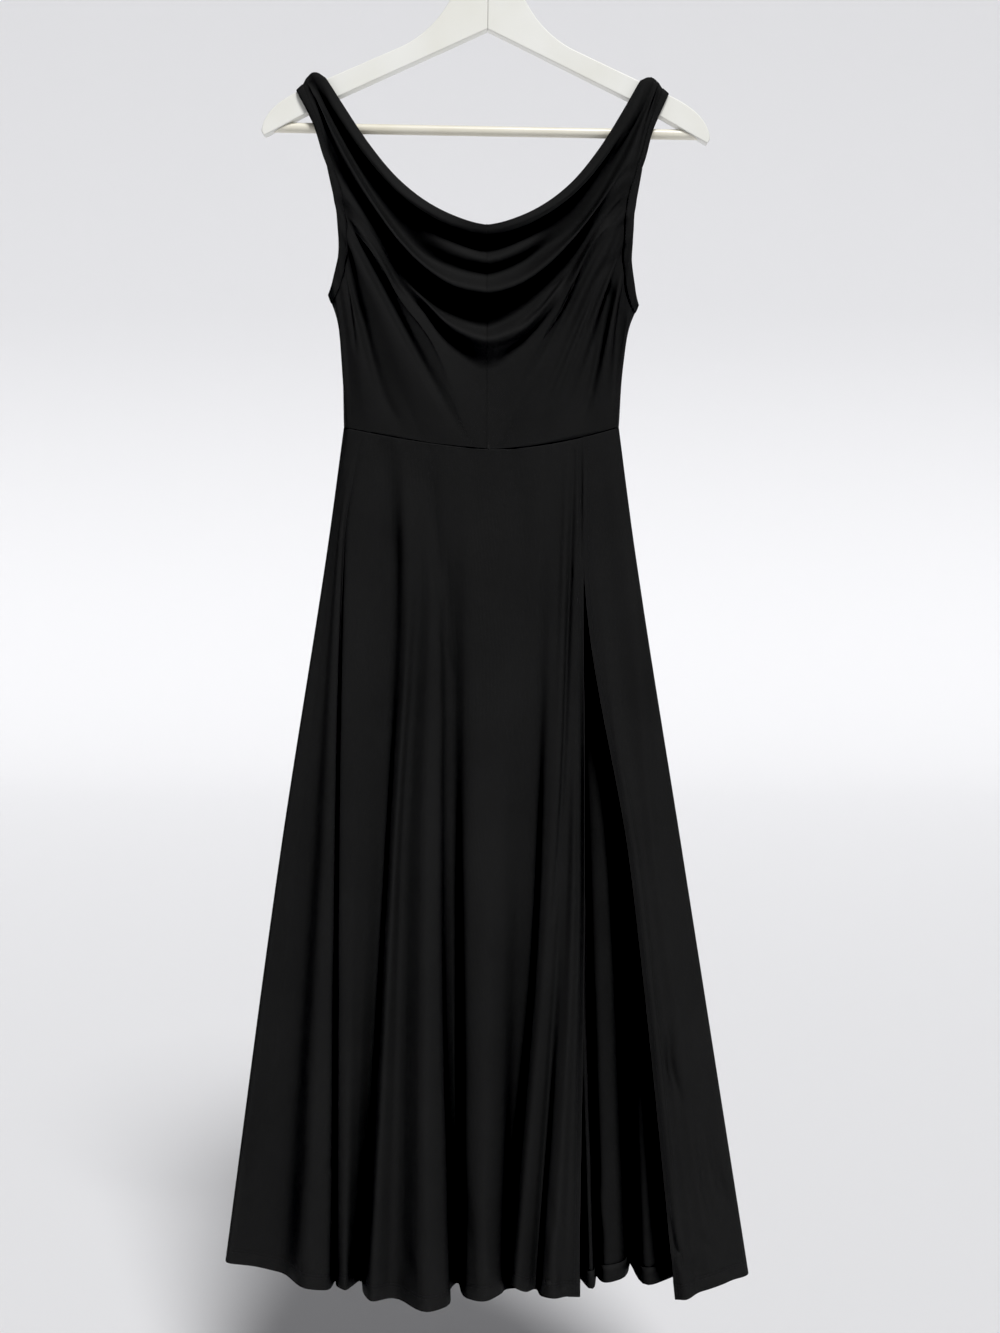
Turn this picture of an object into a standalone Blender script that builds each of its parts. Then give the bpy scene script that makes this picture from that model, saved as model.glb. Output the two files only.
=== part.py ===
"""A sleeveless jersey maxi dress on a wooden hanger, as separate cut-and-sewn walls of cloth.

The frame: the origin is the inside top of the hanger's hook, +Z is up, the front of the dress
faces -Y and the left of the front view is -X. Lengths in the tables are millimetres.
"""

import math

import bmesh
import bpy
from mathutils import Matrix, Vector

MM = 0.001

# ---- cloth
CLOTH = 1.5            # wall of the jersey
SEAM_GAP = 0.3         # space left between two sewn pieces
HALF_GAP = 0.18        # from a seam's line to the edge of either piece
VALLEY_STRETCH = 2.2   # most that the wall's offset grows in a sharp valley and on a ridge
RIDGE_STRETCH = 1.1
RIM_ANGLE = math.radians(60)   # sharper turns than this are the cut edges of the cloth
AXIS_X = Vector((1, 0, 0))
AXIS_Y = Vector((0, 1, 0))
AXIS_Z = Vector((0, 0, 1))

# ---- waist seam, shared by bodice and skirt
CENTRE_X = -3.0        # centre front seam
WAIST_HALF = 138.2     # half the flat waist before the two sides are scaled
WAIST_LEFT = -147.0
WAIST_RIGHT = 129.4
WAIST_SIDE_Z = -517.0
WAIST_SAG_FRONT = 22.0
WAIST_SAG_BACK = 9.0
WAIST_LOW_X = 4.0      # where the seam hangs lowest
WAIST_CURVE_LEFT = 1.5   # exponents of its curve on either side of that
WAIST_CURVE_RIGHT = 1.8
WAIST_GAP = 0.25       # from the seam's line to either piece
WAIST_DEPTH = 11.0     # front or back from the side seam's plane
SIDE_ROUNDING = 4.0    # exponent of the rounding into the side seam

# ---- skirt
HEM_Z = -1410.0        # hem at the centre
HEM_RISE = 27.0        # how much higher the hem is at the sides
HEM_HALF = 265.0
FRONT_BASE = -24.0     # mean depth of the hem, front and back
BACK_BASE = 22.0
FOLD_GROWTH = 1.3
SKIRT_LEVELS = (0.0, 0.13, 0.5, 1.0)   # waist, slit opening, knee, hem, as shares of the length
SKIRT_ROWS = (0.0, 0.05, 0.13, 0.21, 0.3, 0.4, 0.51, 0.63, 0.75, 0.87, 1.0)

# Each row is one fold or valley: its x at the four levels, its depth at the hem, the share of
# the length where it starts to stand out, and how much its hem is raised.
#   x_waist, x_opening, x_knee, x_hem, y_hem, start, raise
SKIRT_FRONT = {
    "side_seam": (-147, -163, -215, -277, -6, 0.0, 0),
    "flank": (-142, -157, -197, -248, 0, 0.0, -3),
    "flank_valley": (-138, -154, -184, -224, -7, 0.1, -3),
    "strip_ridge": (-134, -151, -168, -189, -34, 0.0, -1),
    "pleat_valley": (-131, -149.5, -162, -172, 2, 0.0, -2),
    "pleat_floor": (-128.5, -147.5, -158.5, -164, 2, 0.0, -2),
    "pleat_edge": (-126, -145, -155, -159, -20, 0.0, 0),
    "panel_ridge": (-113, -134, -140, -148, -28, 0.0, 0),
    "panel_slope": (-101, -112, -122, -142, -20, 0.0, 0),
    "second_valley": (-92, -92, -109, -137, -11, 0.03, 0),
    "second_edge": (-87, -85, -103, -129, -38, 0.03, 0),
    "big_fold_left": (-76, -77, -94, -119, -49, 0.03, 0),
    "big_fold_dip": (-63, -65, -77, -94, -31, 0.2, 0),
    "big_fold_right": (-50, -53, -63, -63, -62, 0.1, 0),
    "third_edge": (-41, -44, -54, -44, -50, 0.15, 0),
    "third_valley": (-36, -38, -49, -40, 4, 0.2, 0),
    "third_floor": (-31, -32, -43, -32, 5, 0.2, 0),
    "centre_left": (-22, -23, -29, -21, -16, 0.2, 0),
    "centre_ridge": (-4, -5, -6, -6, -35, 0.1, 0),
    "centre_right": (30, 27, 16, 10, -24, 0.1, 0),
    "under_slope": (54, 49, 35, 22, 0, 0.1, -6),
    "under_fold": (61, 56, 43, 29, 2, 0.1, -6),
    "thin_edge": (68, 62, 49, 14.5, -26, 0.1, 16),
    "thin_tip": (73, 68, 56, 20, -34, 0.1, 14),
    "thin_valley": (78, 75, 63, 34, -13, 0.0, 6),
    "slit_fold_left": (82, 80, 70, 39, -26, 0.1, 8),
    "slit_fold_edge": (85, 83.5, 76, 44, -44, 0.45, 8),
    "slit_fold": (88, 87, 83, 61, -49, 0.35, 8),
    "slit_dip": (91, 90.5, 90, 76, -40, 0.4, 5),
    "slit_edge": (94, 94, 95.5, 88, -42, 0.13, 4),
}

SKIRT_SIDE = {
    "slit_edge": (94, 94, 142, 189, -49, 0.13, -6),
    "slit_turn": (100, 103, 149, 198, -53, 0.1, -6),
    "panel_dip": (109, 117, 158, 216, -39, 0.1, -7),
    "panel_ridge": (119, 136, 170, 230, -35, 0.0, -7),
    "outer_valley": (125, 142, 181, 248, -22, 0.0, -9),
    "side_seam": (129.4, 145, 198, 270, -5, 0.0, -12),
}

SKIRT_BACK = {
    "left_seam": (-147, -163, -215, -277, -6, 0.0, 0),
    "left_turn": (-138, -153, -200, -258, 23, 0.0, 2),
    "fold_1": (-123, -136, -176, -226, 10, 0.1, 0),
    "fold_2": (-105, -116, -149, -192, 33, 0.1, 0),
    "fold_3": (-86, -95, -122, -157, 17, 0.1, 0),
    "fold_4": (-66, -73, -94, -121, 38, 0.05, 0),
    "fold_5": (-45, -50, -66, -86, 20, 0.05, 0),
    "fold_6": (-25, -28, -38, -50, 42, 0.05, 0),
    "fold_7": (-5, -6, -10, -16, 27, 0.1, 0),
    "fold_8": (17, 18, 19, 19, 42, 0.1, 0),
    "fold_9": (39, 42, 49, 57, 22, 0.1, 0),
    "fold_10": (58, 62, 72, 82, 30, 0.1, 0),
    "slit_ridge": (72, 77, 89, 103, 1, 0.35, 0),
    "slit_groove": (79, 84, 98, 119, 16, 0.35, 0),
    "inner_ridge": (86, 92, 107, 130, 22, 0.15, 0),
    "inner_deep": (95, 103, 124, 151, 44, 0.15, 0),
    "far_edge": (101, 110, 132, 157, 2, 0.2, -2),
    "far_ridge": (107, 117, 142, 170, -11, 0.15, -3),
    "far_turn": (114, 125, 155, 190, 2, 0.1, -5),
    "fold_11": (121, 134, 173, 217, 29, 0.05, -8),
    "right_turn": (126, 140, 187, 250, 17, 0.0, -10),
    "right_seam": (129.4, 145, 198, 270, -5, 0.0, -12),
}

# ---- bodice
# Level, scale of the left and of the right half, and how much each half is lifted.
#   z: left, right, left_lift, right_lift
HALF_SCALES = (
    (-170, 1.03, 0.98, 0.5, -3.0),
    (-330, 1.01, 0.995, 1.0, -3.0),
    (-391, 1.01, 0.965, 5.0, -5.0),
    (-517, 1.041, 0.958, 0.0, 0.0),
)
BODICE_DEPTHS = ((-170, 11.0), (-330, 13.0), (-517, 11.0))
STRAP_ROLL = 9.0       # how far the strap takes to turn over the hanger's arm
RIGHT_DRAPE_LIFT = 15.0  # the right half's lower drape lines run straighter
DRAPE_LIFT_FROM = -352.0  # centre height of the drape line where that starts
DRAPE_LIFT_OVER = 28.0
SHOULDER_REACH = 150.0  # distance at which a half's lift is full
CENTRE_DIP = 0.1       # slope of a drape line where it meets the centre seam

# Each row is one drape line, from the shoulder or armhole to the centre or the waist: four
# points, as distance from the centre and height, and how far it stands out at each of them.
# A line that starts on the shoulder gives, in place of its first height, its rise over the
# hanger's arm.
#   d0, rise, d1, z1, d2, z2, d3, z3, out0, out1, out2, out3
FRONT_STRAP_LINES = {
    "neck_edge": (151, 2.7, 117, -236.5, 68, -291, 0, -320.5, 0, -0.5, -1, -1),
    "neck_roll": (155.5, 3.0, 120, -239, 66, -296, 0, -325, 1, 3, 5, 7),
    "first_valley": (158.5, 5, 124.5, -242, 62, -306.5, 0, -336, 0, -1, -1, -1),
    "second_ridge": (163, 10.5, 128, -244.5, 57, -322, 0, -350, 1, 1, 4, 8),
    "second_valley": (166.5, 10, 131.5, -246.5, 58, -334, 0, -361, 0.3, 0, 0, 2),
    "third_ridge": (169.5, 8.6, 135.5, -249, 62, -351, 0, -381.5, 1.2, 5, 12, 15),
    "third_under": (172, 6.6, 138.5, -251, 60.5, -359, 0, -390, 0.6, 1.5, 3, 4),
    "deep_valley": (175, 4.9, 145, -254.5, 62, -372, 0, -404, 0, -0.5, -3, -2),
    "armhole_edge": (181.2, 4.6, 151.4, -258.5, 66, -382, 0, -417.5, 0, 0, 0, 1),
}
#   d0, z0, d1, z1, d2, z2, d3, z3, out0, out1, out2, out3
FRONT_ARMHOLE_LINES = {
    "fourth_ridge": (148.4, -281, 110.7, -340.5, 58, -402, 0, -430.5, 0, 2.8, 7, 10),
    "fourth_under": (147.3, -290, 106, -352.5, 54, -415.5, 0, -443, 0, 1.4, 4, 5),
    "v_valley": (146.6, -298, 102.5, -363, 51.5, -430, 0, -458, 0, 0.3, 1, 1.5),
    "calm": (146, -303, 101.5, -369, 50.5, -442, 0, -490, 0.5, 1, 1.5, 1.5),
    "centre_foot": (145.8, -307.5, 103.5, -373.5, 53, -449, 0, -539, 0, 0.4, 0.4, 0),
    "long_crease": (145.5, -312, 108.8, -371.5, 62, -453, 19, -538, 0, -1.2, -1.6, 0),
    "soft_ridge": (145, -322, 116, -382.4, 79.6, -456, 50, -533.5, 0.5, 2, 2.5, 0),
    "side_crease": (144.4, -334, 122, -402, 105.5, -471, 94.9, -524, 0, -1, -1.5, 0),
    "side_ridge": (144.8, -348, 131, -412, 121.5, -471, 117.8, -520.5, 0.5, 1.5, 1.5, 0),
    "side_valley": (148.5, -366, 140, -417, 133.4, -471, 129.8, -518.5, 0, -0.5, -0.5, 0),
    "side_turn": (152.7, -382.4, 145, -421.5, 139.4, -471, 134.8, -517.6, 0, 0, 0, 0),
    "side_seam": (156.7, -391.2, 148.9, -410, 142.2, -451, 138.2, -517, 0, 0, 0, 0),
}
#   d0, rise, d1, z1, d2, z2, d3, z3, out0, out1, out2, out3
BACK_STRAP_LINES = {
    "neck_edge": (151, 2.4, 117, -235, 70, -293, 0, -327, 1, 1, 1, 1),
    "neck_roll": (156, 3.2, 121.5, -239, 74, -299, 0, -333, 2.5, 2.5, 2.5, 2.5),
    "neck_valley": (163.5, 10.5, 130, -245, 77, -312, 0, -348, 0, 0, 0, 0),
    "strap_ridge": (169, 8.8, 138, -250, 80, -330, 0, -372, 1, 1.5, 2, 2),
    "strap_valley": (175, 4.9, 145, -254.5, 84, -338, 0, -386, 0, 0, 0.5, 1),
    "armhole_edge": (181.2, 4.6, 151.4, -258.5, 88, -347, 0, -400, 0, 0, 0, 1),
}
#   d0, z0, d1, z1, d2, z2, d3, z3, out0, out1, out2, out3
BACK_ARMHOLE_LINES = {
    "calm": (148, -287, 116, -345, 60, -412, 0, -455, 0, 0, 0, 0),
    "centre_foot": (146.5, -302, 117, -362, 65, -435, 0, -526, 0, 0, 0, 0),
    "waist_ridge": (145, -318, 118, -380, 72, -460, 24, -525.5, 0, 1.5, 2, 0),
    "waist_valley": (144.5, -345, 128, -402, 100, -471, 68, -523, 0, -1, -1, 0),
    "side_ridge": (149, -369, 138.5, -415, 122, -471, 106, -519.5, 0, 1, 1, 0),
    "side_turn": (152.7, -382.4, 145, -421.5, 138.5, -471, 132, -517.4, 0, 0, 0, 0),
    "side_seam": (156.7, -391.2, 148.9, -410, 142.2, -451, 138.2, -517, 0, 0, 0, 0),
}
STRAP_COLUMNS = (0.0, 0.012, 0.05, 0.12, 0.22, 0.4, 0.6, 0.8)
BODY_COLUMNS = (0.0, 0.17, 0.34, 0.5, 0.65, 0.79, 0.91, 1.0)   # past the armhole binding

LINE_SPLITS = 2        # lines of points from one drape line to the next
CURVE_SPLITS = 8       # steps of a drape line from one of its four points to the next
EDGE_STEPS = 60        # steps in which a line is searched for the binding's inner edge

# ---- armhole binding
BINDING_WIDTH = 8.0
BINDING_CLOTH = 1.1
BINDING_SLACK = 0.7    # from the cut edge of the panel to the inside of the binding's fold

# ---- hanger
HANGER_TILT = math.radians(1.0)   # its right end hangs a little low
HANGER_TURN = Matrix.Rotation(HANGER_TILT, 4, "Y")
ARM_THICKNESS = 14.0
ARM_EDGE = 1.2
JOINT_GAP = 0.3
NECK_TOP_Z = -66.0
NECK_HALF = 30.0
NECK_CORNER = 8.0
SHOULDER_ROOT = (86.0, -148.0)     # where the neck's curve runs into the arm's top edge
SHOULDER_END = (180.0, -189.5)     # where the arm's top edge starts to round down
ARM_TIP = (221.5, -231.0)
TIP_BOTTOM = (219.0, -235.5)
ELBOW = (150.0, -198.6)            # the underside is a little steeper outside this
APEX_Z = -129.4
BAR_RADIUS = 5.0
BAR_Z = -226.0
BAR_SIDES = 24

HOOK_WIRE = 1.9                    # radius
HOOK_BEND = 21.0                   # radius of the wire's centre line
HOOK_COLLAR = 4.5
HOOK_SIDES = 10
HOOK_FROM = math.radians(-52)
HOOK_TO = math.radians(196)


# ---------------------------------------------------------------- small tools


def clear_scene():
    for thing in list(bpy.data.objects):
        bpy.data.objects.remove(thing, do_unlink=True)


def lerp(a, b, t):
    return a + (b - a) * t


def clamp(value):
    return min(1.0, max(0.0, value))


def between(rows, key):
    """The other columns of a short table at key, in straight lines between its rows."""
    ordered = sorted(rows)
    if key <= ordered[0][0]:
        return ordered[0][1:]
    for low, high in zip(ordered, ordered[1:]):
        if key <= high[0]:
            share = (key - low[0]) / (high[0] - low[0])
            return tuple(lerp(a, b, share) for a, b in zip(low[1:], high[1:]))
    return ordered[-1][1:]


def monotone(levels, values, at):
    """A curve through values at levels that never swings past them."""
    steps = [b - a for a, b in zip(levels, levels[1:])]
    slopes = [(b - a) / h for a, b, h in zip(values, values[1:], steps)]
    tangents = [slopes[0]]
    for left, right in zip(slopes, slopes[1:]):
        same_way = left * right > 0
        tangents.append(2 * left * right / (left + right) if same_way else 0.0)
    tangents.append(slopes[-1])
    span = max(i for i in range(len(steps)) if at >= levels[i] or i == 0)
    h = steps[span]
    t = (at - levels[span]) / h
    return hermite(
        values[span], values[span + 1], tangents[span] * h, tangents[span + 1] * h, t
    )


def hermite(a, b, tangent_a, tangent_b, t):
    square = t * t
    cube = square * t
    return (
        a * (2 * cube - 3 * square + 1)
        + tangent_a * (cube - 2 * square + t)
        + b * (3 * square - 2 * cube)
        + tangent_b * (cube - square)
    )


def spline(points, splits, first=None, last=None):
    """Points of a smooth curve through points, each span cut in splits. first and last are
    the directions at its ends, where they are given."""
    spans = [max((b - a).length, 1e-6) for a, b in zip(points, points[1:])]
    ways = [(b - a) / d for a, b, d in zip(points, points[1:], spans)]
    tangents = [first if first else ways[0]]
    for i in range(1, len(points) - 1):
        whole = spans[i - 1] + spans[i]
        tangents.append((ways[i - 1] * spans[i] + ways[i] * spans[i - 1]) / whole)
    tangents.append(last if last else ways[-1])
    curve = []
    for i, span in enumerate(spans):
        for k in range(splits):
            t = k / splits
            args = (tangents[i] * span, tangents[i + 1] * span, t)
            curve.append(hermite(points[i], points[i + 1], *args))
    curve.append(points[-1].copy())
    return curve


def along(curve, shares):
    """The points at these shares of a curve's length."""
    lengths = [0.0]
    for a, b in zip(curve, curve[1:]):
        lengths.append(lengths[-1] + (b - a).length)
    found = []
    for share in shares:
        target = share * lengths[-1]
        i = max(k for k in range(len(lengths) - 1) if lengths[k] <= target or k == 0)
        step = max(lengths[i + 1] - lengths[i], 1e-9)
        found.append(curve[i].lerp(curve[i + 1], clamp((target - lengths[i]) / step)))
    return found


def material(name, colour, roughness, metallic=0.0):
    made = bpy.data.materials.new(name)
    made.use_nodes = True
    shader = made.node_tree.nodes["Principled BSDF"]
    shader.inputs["Base Color"].default_value = (*colour, 1.0)
    shader.inputs["Roughness"].default_value = roughness
    shader.inputs["Metallic"].default_value = metallic
    made.diffuse_color = (*colour, 1.0)
    return made


def add_mesh(name, points, faces, finish, smooth=True):
    """An object of points in millimetres."""
    mesh = bpy.data.meshes.new(name)
    mesh.from_pydata([tuple(p * MM) for p in points], [], faces)
    mesh.update()
    mesh.materials.append(finish)
    if smooth:
        mesh.shade_smooth()
    thing = bpy.data.objects.new(name, mesh)
    bpy.context.scene.collection.objects.link(thing)
    return thing


# ---------------------------------------------------------------- grids of cloth


def sheet_faces(lines, outward):
    """Quads between neighbouring lines of numbered points; None marks a missing point."""
    faces = []
    for upper, lower in zip(lines, lines[1:]):
        for i in range(min(len(upper), len(lower)) - 1):
            corners = (upper[i], upper[i + 1], lower[i + 1], lower[i])
            if None not in corners:
                faces.append(corners if outward else corners[::-1])
    return faces


def sheet_normals(points, faces, seams):
    """Smooth outward directions at a sheet's points, longer in a sharp valley so that the wall
    keeps its thickness there. Along a seam they are kept in the seam's own plane, whose axes
    seams gives by point, so that two sewn walls meet edge to edge."""
    normals = [Vector() for _ in points]
    around = [[] for _ in points]
    for face in faces:
        a, b, c, d = (points[i] for i in face)
        across_face = (c - a).cross(d - b)
        for i in face:
            normals[i] += across_face
            around[i].append((across_face, (a + b + c + d) / 4))
    for i, axes in seams.items():
        for axis in axes:
            normals[i] -= axis * normals[i].dot(axis)
    for i, normal in enumerate(normals):
        normal.normalize()
        area = sum(face_normal.length for face_normal, _ in around[i])
        lean = sum(face_normal.dot(normal) for face_normal, _ in around[i]) / area
        rise = sum((centre - points[i]).dot(normal) for _, centre in around[i])
        most = VALLEY_STRETCH if rise > 0 else RIDGE_STRETCH
        normal *= min(most, 1 / max(lean, 0.1))
    return normals


def halves_of(face, points):
    """The two triangles of a quad, cut along its shorter diagonal."""
    a, b, c, d = face
    if (points[c] - points[a]).length <= (points[d] - points[b]).length:
        return [(a, b, c), (a, c, d)]
    return [(a, b, d), (b, c, d)]


def add_wall(name, points, normals, quads, finish):
    """A closed wall of cloth, inwards from the sheet's outer side. Both its sides are cut along
    the same diagonals, so that a twisted quad keeps its thickness."""
    count = len(points)
    inner = [p - n * CLOTH for p, n in zip(points, normals)]
    faces = [half for quad in quads for half in halves_of(quad, points)]
    walls = faces + [tuple(i + count for i in reversed(face)) for face in faces]
    edges = {(face[i - 1], face[i]) for face in faces for i in range(len(face))}
    for a, b in sorted(edges):
        if (b, a) not in edges:
            walls.append((b, a, a + count, b + count))
    wall = add_mesh(name, points + inner, walls, finish)
    wall.data.set_sharp_from_angle(angle=RIM_ANGLE)
    return wall


# ---------------------------------------------------------------- skirt


def waist_side_share(x):
    """0 at either side seam and 1 over the flat of the front or back."""
    middle = (WAIST_LEFT + WAIST_RIGHT) / 2
    half = (WAIST_RIGHT - WAIST_LEFT) / 2
    u = clamp(abs(x - middle) / half)
    return (1 - u**SIDE_ROUNDING) ** (1 / SIDE_ROUNDING)


def waist_height(x, sag):
    if x < WAIST_LOW_X:
        share = (WAIST_LOW_X - x) / (WAIST_LOW_X - WAIST_LEFT)
        return WAIST_SIDE_Z - sag * (1 - clamp(share) ** WAIST_CURVE_LEFT)
    share = (x - WAIST_LOW_X) / (WAIST_RIGHT - WAIST_LOW_X)
    return WAIST_SIDE_Z - sag * (1 - clamp(share) ** WAIST_CURVE_RIGHT)


def hem_height(x, raised):
    return HEM_Z + HEM_RISE * (x / HEM_HALF) ** 2 + raised


def station_point(row, v, facing, base, sag):
    """Where one fold's line is at the share v of the skirt's length."""
    x_waist, x_opening, x_knee, x_hem, y_hem, start, raised = row
    x = monotone(SKIRT_LEVELS, (x_waist, x_opening, x_knee, x_hem), v)
    y_waist = facing * WAIST_DEPTH * waist_side_share(x_waist)
    growth = clamp((v - start) / (1 - start)) ** FOLD_GROWTH
    y = y_waist * (1 - v) + base * v + (y_hem - base) * growth
    top = waist_height(x_waist, sag) - WAIST_GAP
    return Vector((x, y, lerp(top, hem_height(x_hem, raised), v)))


def skirt_lines(table, facing, base, sag, splits, gaps, turns):
    """One line of points per level. gaps moves the two ends off their seams, and turns says
    which ends round into a side seam."""
    rows = list(table.values())
    lines = []
    for v in SKIRT_ROWS:
        stations = [station_point(row, v, facing, base, sag) for row in rows]
        stations[0] += gaps[0]
        stations[-1] += gaps[1]
        out = Vector((0, facing, 0))
        first = out if turns[0] else None
        last = -out if turns[1] else None
        lines.append(spline(stations, splits, first, last))
    return lines


def skirt_piece(name, lines, finish, outward, seam_axes):
    """A skirt panel's wall. seam_axes are those of the seams at its two ends."""
    width = len(lines[0])
    points = [p for line in lines for p in line]
    numbers = [list(range(i * width, (i + 1) * width)) for i in range(len(lines))]
    faces = sheet_faces(numbers, outward)
    seams = {row[0]: [seam_axes[0]] for row in numbers}
    seams.update({row[-1]: [seam_axes[1]] for row in numbers})
    for i in numbers[0]:
        seams[i] = seams.get(i, []) + [AXIS_Z]
    add_wall(name, points, sheet_normals(points, faces, seams), faces, finish)


def build_skirt(finish):
    front_side = Vector((0, -HALF_GAP, 0))
    back_side = Vector((0, HALF_GAP, 0))
    seam_left = Vector((-HALF_GAP, 0, 0))
    seam_right = Vector((HALF_GAP, 0, 0))
    front = skirt_lines(
        SKIRT_FRONT, -1, FRONT_BASE, WAIST_SAG_FRONT, 2, (front_side, seam_left), (True, False)
    )
    side = skirt_lines(
        SKIRT_SIDE, -1, FRONT_BASE, WAIST_SAG_FRONT, 3, (seam_right, front_side), (False, True)
    )
    back = skirt_lines(
        SKIRT_BACK, 1, BACK_BASE, WAIST_SAG_BACK, 2, (back_side, back_side), (True, True)
    )
    skirt_piece("skirt_front", front, finish, False, (AXIS_Y, AXIS_X))
    skirt_piece("skirt_front_side", side, finish, False, (AXIS_X, AXIS_Y))
    skirt_piece("skirt_back", back, finish, True, (AXIS_Y, AXIS_Y))


# ---------------------------------------------------------------- bodice


def arm_top(x):
    """Height of the hanger arm's top edge under the shoulder."""
    side = math.copysign(1, x)
    ends = [(side * SHOULDER_ROOT[0], SHOULDER_ROOT[1]), (side * SHOULDER_END[0], SHOULDER_END[1])]
    root, end = (HANGER_TURN @ Vector((along_x, 0, height)) for along_x, height in ends)
    return lerp(root.z, end.z, (x - root.x) / (end.x - root.x))


def half_at(side, height):
    """Scale and lift of one half of the bodice at a height."""
    left, right, left_lift, right_lift = between(HALF_SCALES, height)
    return (left, left_lift) if side < 0 else (right, right_lift)


def flat_curve(row, side, on_strap):
    """A drape line as x = distance, y = how far it stands out, z = height, before its half is
    scaled and lifted."""
    flat = [Vector((row[2 * i], row[8 + i], row[2 * i + 1])) for i in range(4)]
    if on_strap:
        scale, lift = half_at(side, SHOULDER_END[1])
        flat[0].z += arm_top(CENTRE_X + side * row[0] * scale) - lift
    to_centre = Vector((-1, 0, -CENTRE_DIP)) if row[6] == 0 else None
    return spline(flat, CURVE_SPLITS, None, to_centre)


def distance_to(border, point):
    """How far a point of a flat curve is from a border of such points, seen from the front."""
    found = []
    for a, b in zip(border, border[1:]):
        way = b - a
        way.y = 0
        offset = point - a
        offset.y = 0
        found.append((offset - way * clamp(offset.dot(way) / way.length_squared)).length)
    return min(found)


def share_clear_of(border, curve, width):
    """The share of a curve's length at which it has come width away from a border."""
    shares = [i / EDGE_STEPS / 2 for i in range(EDGE_STEPS)]
    for share, point in zip(shares, along(curve, shares)):
        if distance_to(border, point) >= width:
            return share
    return shares[-1]


def body_shares(curve, border):
    """Shares for a line's columns past the strap: its start, the middle and the inner edge of
    the armhole's binding, and the columns of the body."""
    inner = share_clear_of(border, curve, BINDING_WIDTH)
    return [0.0, inner / 2] + [lerp(inner, 1.0, share) for share in BODY_COLUMNS]


def drape_line(curve, shares, side, facing, ends_at, on_strap):
    """A drape line's points in place. ends_at is its last point's distance from the centre."""
    share = (1 - (ends_at / WAIST_HALF) ** SIDE_ROUNDING) ** (1 / SIDE_ROUNDING)
    if on_strap:
        strap, body = curve[: CURVE_SPLITS + 1], curve[CURVE_SPLITS:]
        spots = along(strap, STRAP_COLUMNS) + along(body, shares)
    else:
        spots = [None] * len(STRAP_COLUMNS) + along(curve, shares)
    start = curve[0]
    placed = []
    for spot in spots:
        if spot is None:
            placed.append(None)
            continue
        distance, out, height = spot
        scale, lift = half_at(side, height)
        if ends_at == 0:
            lift *= clamp(distance / SHOULDER_REACH)
        if side > 0 and facing < 0 and ends_at == 0:
            q = clamp(distance / SHOULDER_REACH) ** 1.5
            straighter = clamp((DRAPE_LIFT_FROM - curve[-1].z) / DRAPE_LIFT_OVER)
            lift += RIGHT_DRAPE_LIFT * straighter * 4 * q * (1 - q)
        depth = between(BODICE_DEPTHS, height)[0] * share
        turn = 1.0
        if on_strap:
            gone = clamp(math.hypot(distance - start.x, height - start.z) / STRAP_ROLL)
            turn = (1 - (1 - gone) ** SIDE_ROUNDING) ** (1 / SIDE_ROUNDING)
        y = facing * ((depth + out) * turn)
        placed.append(Vector((CENTRE_X + side * distance * scale, y, height + lift)))
    return placed


def across(lines, splits):
    """Adds smooth lines between neighbouring drape lines, column by column."""
    count = len(lines[0])
    made = [[None] * count for _ in range((len(lines) - 1) * splits + 1)]
    for column in range(count):
        known = [line[column] for line in lines if line[column] is not None]
        for i, point in enumerate(spline(known, splits)):
            made[i][column] = point
    return made


def bodice_half(strap_rows, armhole_rows, side, facing):
    """One half's lines from the neck to the side seam, with its edges moved off their seams,
    and the axes of the seam at each of its points that lies on one, by line and column."""
    first = len(STRAP_COLUMNS)
    strap_curves = [flat_curve(row, side, True) for row in strap_rows.values()]
    body_curves = [flat_curve(row, side, False) for row in armhole_rows.values()]
    strap_edge = strap_curves[-1]
    border = strap_edge[: CURVE_SPLITS + 1] + [curve[0] for curve in body_curves]
    edge_shares = body_shares(strap_edge[CURVE_SPLITS:], border)
    lines = []
    for row, curve in zip(strap_rows.values(), strap_curves):
        lines.append(drape_line(curve, edge_shares, side, facing, row[6], True))
    for row, curve in zip(armhole_rows.values(), body_curves):
        shares = body_shares(curve, border)
        lines.append(drape_line(curve, shares, side, facing, row[6], False))
    made = across(lines, LINE_SPLITS)
    edge = (len(strap_rows) - 1) * LINE_SPLITS
    foot = edge + (list(armhole_rows).index("centre_foot") + 1) * LINE_SPLITS
    sag = WAIST_SAG_FRONT if facing < 0 else WAIST_SAG_BACK
    seams = {}
    for i, line in enumerate(made):
        if line[0] is not None:
            line[0].y = facing * HALF_GAP
            seams[i, 0] = [AXIS_Y]
        if i <= foot:
            line[-1].x = CENTRE_X
            seams[i, len(line) - 1] = [AXIS_X]
        if i >= foot:
            line[-1].y = facing * WAIST_DEPTH * waist_side_share(line[-1].x)
            line[-1].z = waist_height(line[-1].x, sag) + WAIST_GAP
            seams.setdefault((i, len(line) - 1), []).append(AXIS_Z)
    for column in range(first, len(made[-1])):
        made[-1][column].y = facing * HALF_GAP
        seams.setdefault((len(made) - 1, column), []).append(AXIS_Y)
    return made, seams


def matched_halves(strap_rows, armhole_rows, facing):
    """Both halves as (side, lines, seams), with the points of their centre line made the
    same."""
    left = bodice_half(strap_rows, armhole_rows, -1, facing)
    right = bodice_half(strap_rows, armhole_rows, 1, facing)
    for a, b in zip(left[0], right[0]):
        if a[-1].x == b[-1].x:
            a[-1] = (a[-1] + b[-1]) / 2
            b[-1] = a[-1].copy()
    return (-1, *left), (1, *right)


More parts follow.
